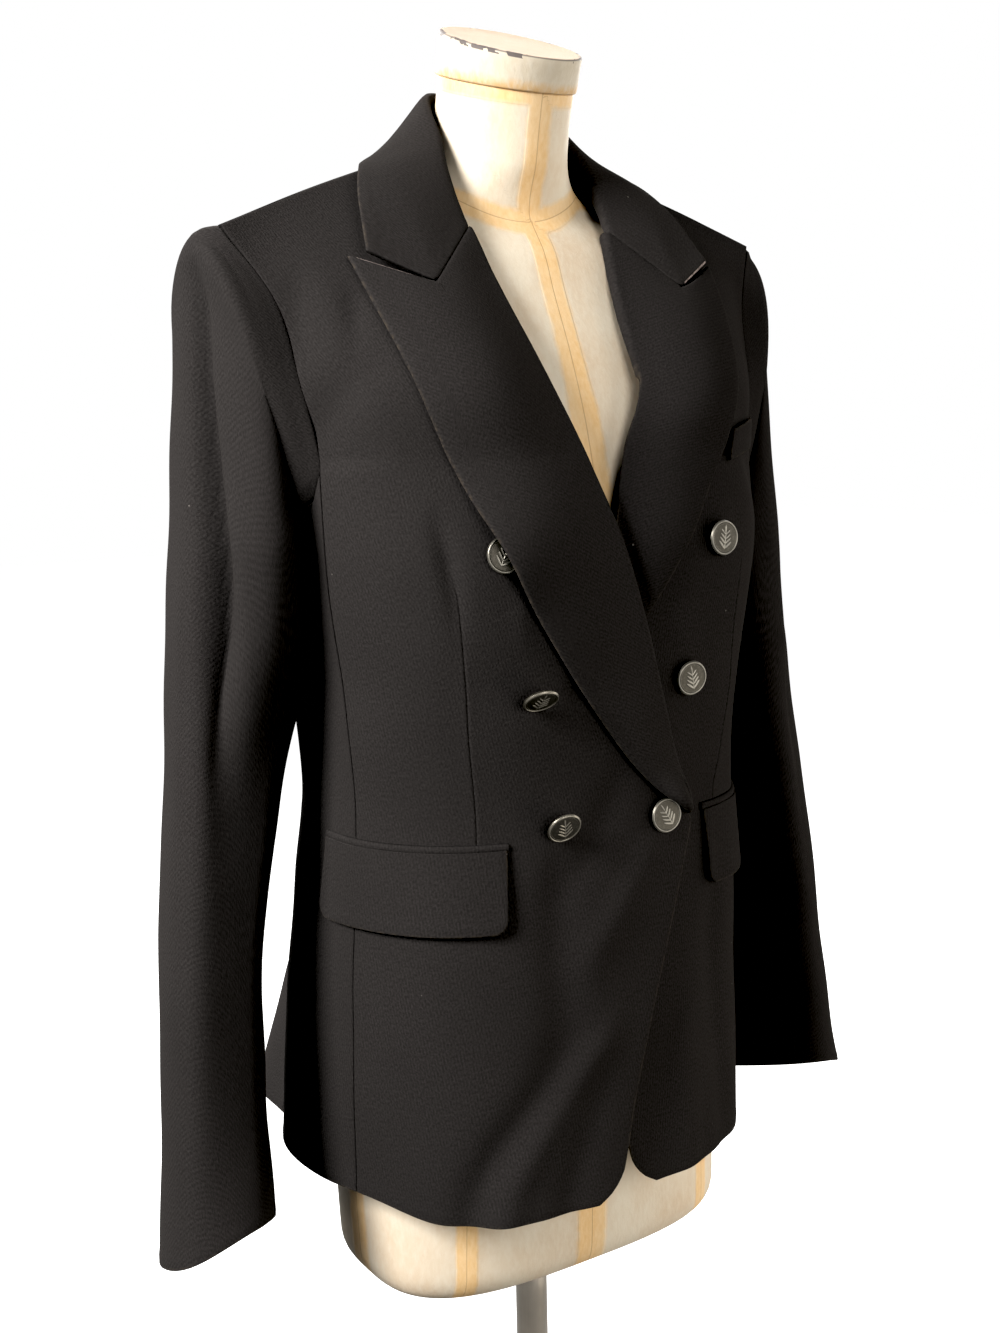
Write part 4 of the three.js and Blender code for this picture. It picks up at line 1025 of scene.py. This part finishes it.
# ---- buttons ----
def pewter(name, field, raised_colour):
    """Cast metal, darker in the field and lighter where the surface is raised."""
    m = Nodes(name, field, 0.42, Metallic=0.85)
    place = m.place()
    rise = m.split(m.attribute("rise"))[0]
    stain = m.noise(place, 650, 3)
    raised = m.ramp(m.math("MULTIPLY_ADD", m.math("SUBTRACT", stain, 0.5), 0.0002, rise), 0, 0.00034)
    recess = m.ramp(rise, -0.00016, -0.00004, 1, 0)
    colour = m.blend(raised, field, raised_colour)
    colour = m.blend(recess, colour, (0.02, 0.018, 0.015))
    return m.finish(colour, m.ramp(raised, 0, 1, 0.5, 0.34), m.bump(stain, 0.25, 0.0002))


PEWTER = pewter("button_pewter", (0.056, 0.051, 0.042), (0.185, 0.174, 0.15))
# a darker copy for the two right buttons that hang face down: painted shade in their colour
PEWTER_SHADED = pewter("button_pewter_painted_shade", (0.036, 0.032, 0.026), (0.175, 0.16, 0.133))
BUTTON_RADIUS, BUTTON_THICK, SHANK_RADIUS, FIELD_RADIUS = 11.4, 4.0, 2.6, 9.5
# where each button is, how far its face hangs down and turns aside in degrees, its shank, and its own turn
BUTTONS = {
    "name": ["right_top", "right_middle", "right_bottom", "left_top", "left_middle", "left_bottom"],
    "x": [-84.0, -63.0, -46.0, 87.0, 62.0, 35.0],
    "z": [493.0, 408.0, 323.0, 492.0, 402.0, 315.0],
    "hang": [0, 44, 32, 2, 0, 0],
    "aside": [0, 0, 0, 15, 14, 8],
    "shank": [0.2, 2.6, 2.6, 2.6, 2.6, 1.4],
    "spin": [-0.45, -0.1, 0.25, -0.15, 0.2, 0.55],
}


def sprig(x, y):
    """Height of a plain upright sprig: a stem with four pairs of leaves and one at its tip."""
    height = 0.4 * hump(x, 0.4) * ease((7.4 - np.abs(y + 0.4)) / 0.8)
    pairs = [(s, 3 * k - 7, 0.82, 6.9 - 0.7 * k) for k in range(4) for s in (-1, 1)]
    for s, foot, tilt, size in [*pairs, (1, 4.6, 0, 3.9)]:
        dx, dy = s * x, y - foot
        p, q = dx * math.sin(tilt) + dy * math.cos(tilt), dx * math.cos(tilt) - dy * math.sin(tilt)
        half = 0.125 * size * np.sqrt(np.clip(1 - (2 * p / size - 1) ** 2, 0, 1))
        leaf = np.clip(1 - (q / np.maximum(half, 1e-3)) ** 2, 0, 1) ** 0.5
        height = np.maximum(height, np.where((p > 0) & (p < size), 0.42 * leaf, 0))
    return height


def button_shape(shank):
    """Points, faces and heights above the field of a domed button with a raised rim and a sprig."""
    r = [*np.linspace(0, 9.0, 44), *np.arange(9.15, 10.1, 0.15), 10.2, 10.5, 10.8, 11.1, 11.32, BUTTON_RADIUS]
    a = np.linspace(0, 2 * np.pi, 120, endpoint=False)
    rr, aa = np.meshgrid(r, a, indexing="ij")
    x, y = rr * np.sin(aa), rr * np.cos(aa)
    relief = sprig(x, y) * ease((9.0 - rr) / 0.8)
    rim = 0.5 * np.exp(-(((rr - 10.55) / 0.62) ** 4)) * (rr > FIELD_RADIUS)
    bead = 0.2 * hump(rr - 9.25, 0.2)
    dome = BUTTON_THICK - 1.0 + 0.42 * (1 - (rr / 9.4) ** 2)
    z = dome + np.maximum(relief, bead) + rim - 0.9 * np.clip((rr - 10.6) / 0.8, 0, 1) ** 2
    by_leaf = (relief < 0.02) & (sprig(x * 0.93, y * 0.97) > 0.1) & (rr < 8.6)
    rise = np.where(rr < 9.9, -0.2, 0.28)
    rise = np.where(rr < FIELD_RADIUS, np.where(by_leaf, -0.07, relief) + 0.5 * bead, rise)
    # the back: radius and height
    low = [(BUTTON_RADIUS, 2.2), (11.1, 1.52), (10.3, 0.64), (8, 0.08), (2.9, 0),
           (SHANK_RADIUS, -0.2 * shank), (SHANK_RADIUS, -shank)]
    rings = [*xyz(x, y, z)[1:], *[xyz(reach * np.sin(a), reach * np.cos(a), level) for reach, level in low]]
    points, faces = closed(np.stack(rings))
    points[-2] = [0, 0, z[0, 0]]
    return points, faces, [*rise[1:].ravel(), *[0.25] * (len(low) * len(a)), rise[0, 0], 0.2]


def button(name, x, z, hang, aside, shank, spin):
    """Sews on a button: its shank touches the cloth, and its tilted rim clears it."""
    a, h = locate(np.array([x]), np.array([z]))
    p = surface(a, h)[0]
    across, up = (surface(a + da, h + dh)[0] - surface(a - da, h - dh)[0] for da, dh in ((0.5, 0), (0, 0.5)))
    n = unit(np.cross(across, up))
    n = n if n @ [p[0], p[1], 0] > 0 else -n
    tip = turned(n, np.cross(level(n), n), math.radians(hang))[0]
    tip[:2] = turned(*tip[:2], math.radians(aside))
    tilt = math.acos(min(1.0, float(n @ tip)))
    rim_drop = BUTTON_RADIUS * 0.94 * math.sin(tilt) - shank * math.cos(tilt)
    clear = max(SHANK_RADIUS * math.sin(tilt), rim_drop) + 0.3
    below = float(under(a, h)[0]) if name in ("left_top", "left_middle") else 0.0
    at = p + n * (below + CLOTH + clear) + tip * shank
    points, faces, rise = button_shape(shank)
    side, upward = turned(level(tip), np.cross(tip, level(tip)), spin)
    world = at + points @ np.array([side, upward, tip])
    # the two hanging right buttons take the darker copy, painted shade
    material = PEWTER_SHADED if name in ("right_middle", "right_bottom") else PEWTER
    piece(f"button_{name}_metal", world, faces, [material], f"button_{name}",
          {"rise": xyz(rise, 0, 0) / 1000})


for row in zip(*BUTTONS.values()):
    button(*row)

# ---- sizes of the cut pieces: width, length and area in metres ----
CUTS = {
    "front_right": (0.29, 0.68, 0.132), "front_left": (0.29, 0.68, 0.129),
    "side_right": (0.14, 0.46, 0.059), "side_left": (0.14, 0.46, 0.058),
    "back_right back_left": (0.23, 0.7, 0.115), "top_sleeve_right top_sleeve_left": (0.25, 0.62, 0.11),
    "under_sleeve_right under_sleeve_left": (0.14, 0.55, 0.05),
    "lapel_right": (0.11, 0.45, 0.03), "lapel_left": (0.11, 0.4, 0.024), "collar": (0.46, 0.1, 0.036),
    "flap_right flap_left": (0.16, 0.055, 0.0072), "jet_right jet_left": (0.15, 0.01, 0.0013),
    "chest_welt": (0.05, 0.025, 0.001),
}
for names, (width, length, area) in CUTS.items():
    for name in names.split():
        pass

# ---- camera, floor and light ----
scene = bpy.context.scene


def aim(thing, right, up, back, at):
    """Puts a camera or lamp at a point in metres, looking away from back."""
    rows = [[right[i], up[i], back[i], at[i]] for i in range(3)]
    thing.matrix_world = Matrix([*rows, [0, 0, 0, 1]])


# the camera's distance and height, and its lens, all in millimetres
CAMERA_DISTANCE, CAMERA_HEIGHT, LENS, SENSOR = 1082.46, 584.51, 42.9572, 36
camera = new_object("camera", bpy.data.cameras.new("camera"))
scene.camera = camera
azimuth, pitch, roll, yaw = (math.radians(x) for x in (-33.28, 9.57, -1.34, -0.66))
right = np.array([math.cos(azimuth), math.sin(azimuth), 0])
forward = np.array([-right[1], right[0], 0])
place = metres(-forward * CAMERA_DISTANCE + UP * CAMERA_HEIGHT)
forward, right = turned(forward, right, yaw)
forward, up = turned(forward, UP, -pitch)
right, up = turned(right, up, roll)
aim(camera, right, up, -forward, place)
camera.data.sensor_width, camera.data.lens = SENSOR, LENS
camera.data.clip_start, camera.data.clip_end = 0.05, 100

floor_mesh = bpy.data.meshes.new("floor")
floor_mesh.from_pydata([(-12, -12, 0), (12, -12, 0), (12, 12, 0), (-12, 12, 0)], [], [(0, 1, 2, 3)])
floor = new_object("floor", floor_mesh)
pale = Nodes("floor_pale", (0.5, 0.5, 0.5), 0.8, Specular_IOR_Level=0.0)
spot = pale.place()
grain = pale.ramp(pale.noise(spot, 40, 3), 0.3, 0.7, 0.49, 0.51)
pale.set("Base Color", pale.add("CombineColor", i0=grain, i1=grain, i2=grain))
away = pale.add("VectorMath", out="Value", props={"operation": "LENGTH"}, i0=spot)
pale.set("Emission Color", (1, 1, 1))
pale.set("Emission Strength", pale.ramp(away, 0.35, 1.25, 0.42, 1.0))
floor_mesh.materials.append(pale.material)
floor.visible_diffuse = False
floor.visible_glossy = False


def soft_light(name, azimuth, elevation, distance, size, power, colour=(1, 1, 1)):
    """A square soft box that faces the blazer from that azimuth (0 is in front, 90 the wearer's right)."""
    data = bpy.data.lights.new(name, "AREA")
    data.size, data.energy, data.color = size, power, colour
    lamp = new_object(name, data)
    lamp.visible_camera = False
    a, e = math.radians(azimuth), math.radians(elevation)
    back = np.array([-math.sin(a) * math.cos(e), -math.cos(a) * math.cos(e), math.sin(e)])
    side = level(back)
    aim(lamp, side, np.cross(back, side), back, UP * LIGHT_AIM + back * distance)


LIGHT_AIM = 1.05  # height of the point that the lights face
soft_light("key", 82, 28, 1.9, 0.7, 86, (1.0, 0.99, 0.975))
soft_light("fill", 0, 14, 3.8, 2.6, 96, (1.0, 0.98, 0.95))
soft_light("far_fill", -70, 4, 3.8, 2.6, 82, (1.0, 0.96, 0.90))
soft_light("low_bounce", -36, -24, 1.1, 0.5, 3.2, (1.0, 0.94, 0.84))
soft_light("behind", 178, 30, 3.4, 2.0, 165)
soft_light("behind_left", -132, 22, 3.4, 2.0, 110)

world = bpy.data.worlds.new("studio")
scene.world = world
world.use_nodes = True
sky = world.node_tree.nodes["Background"]
sky.inputs[0].default_value = (1, 1, 1, 1)
sky.inputs[1].default_value = 1.0
world.cycles_visibility.diffuse = False
world.cycles_visibility.glossy = True
view = scene.view_settings
view.view_transform = "Standard"
view.look = "None"
view.gamma = 0.9
view.use_curve_mapping = True
view.curve_mapping.black_level = (0.0217, 0.0199, 0.0193)
view.curve_mapping.update()
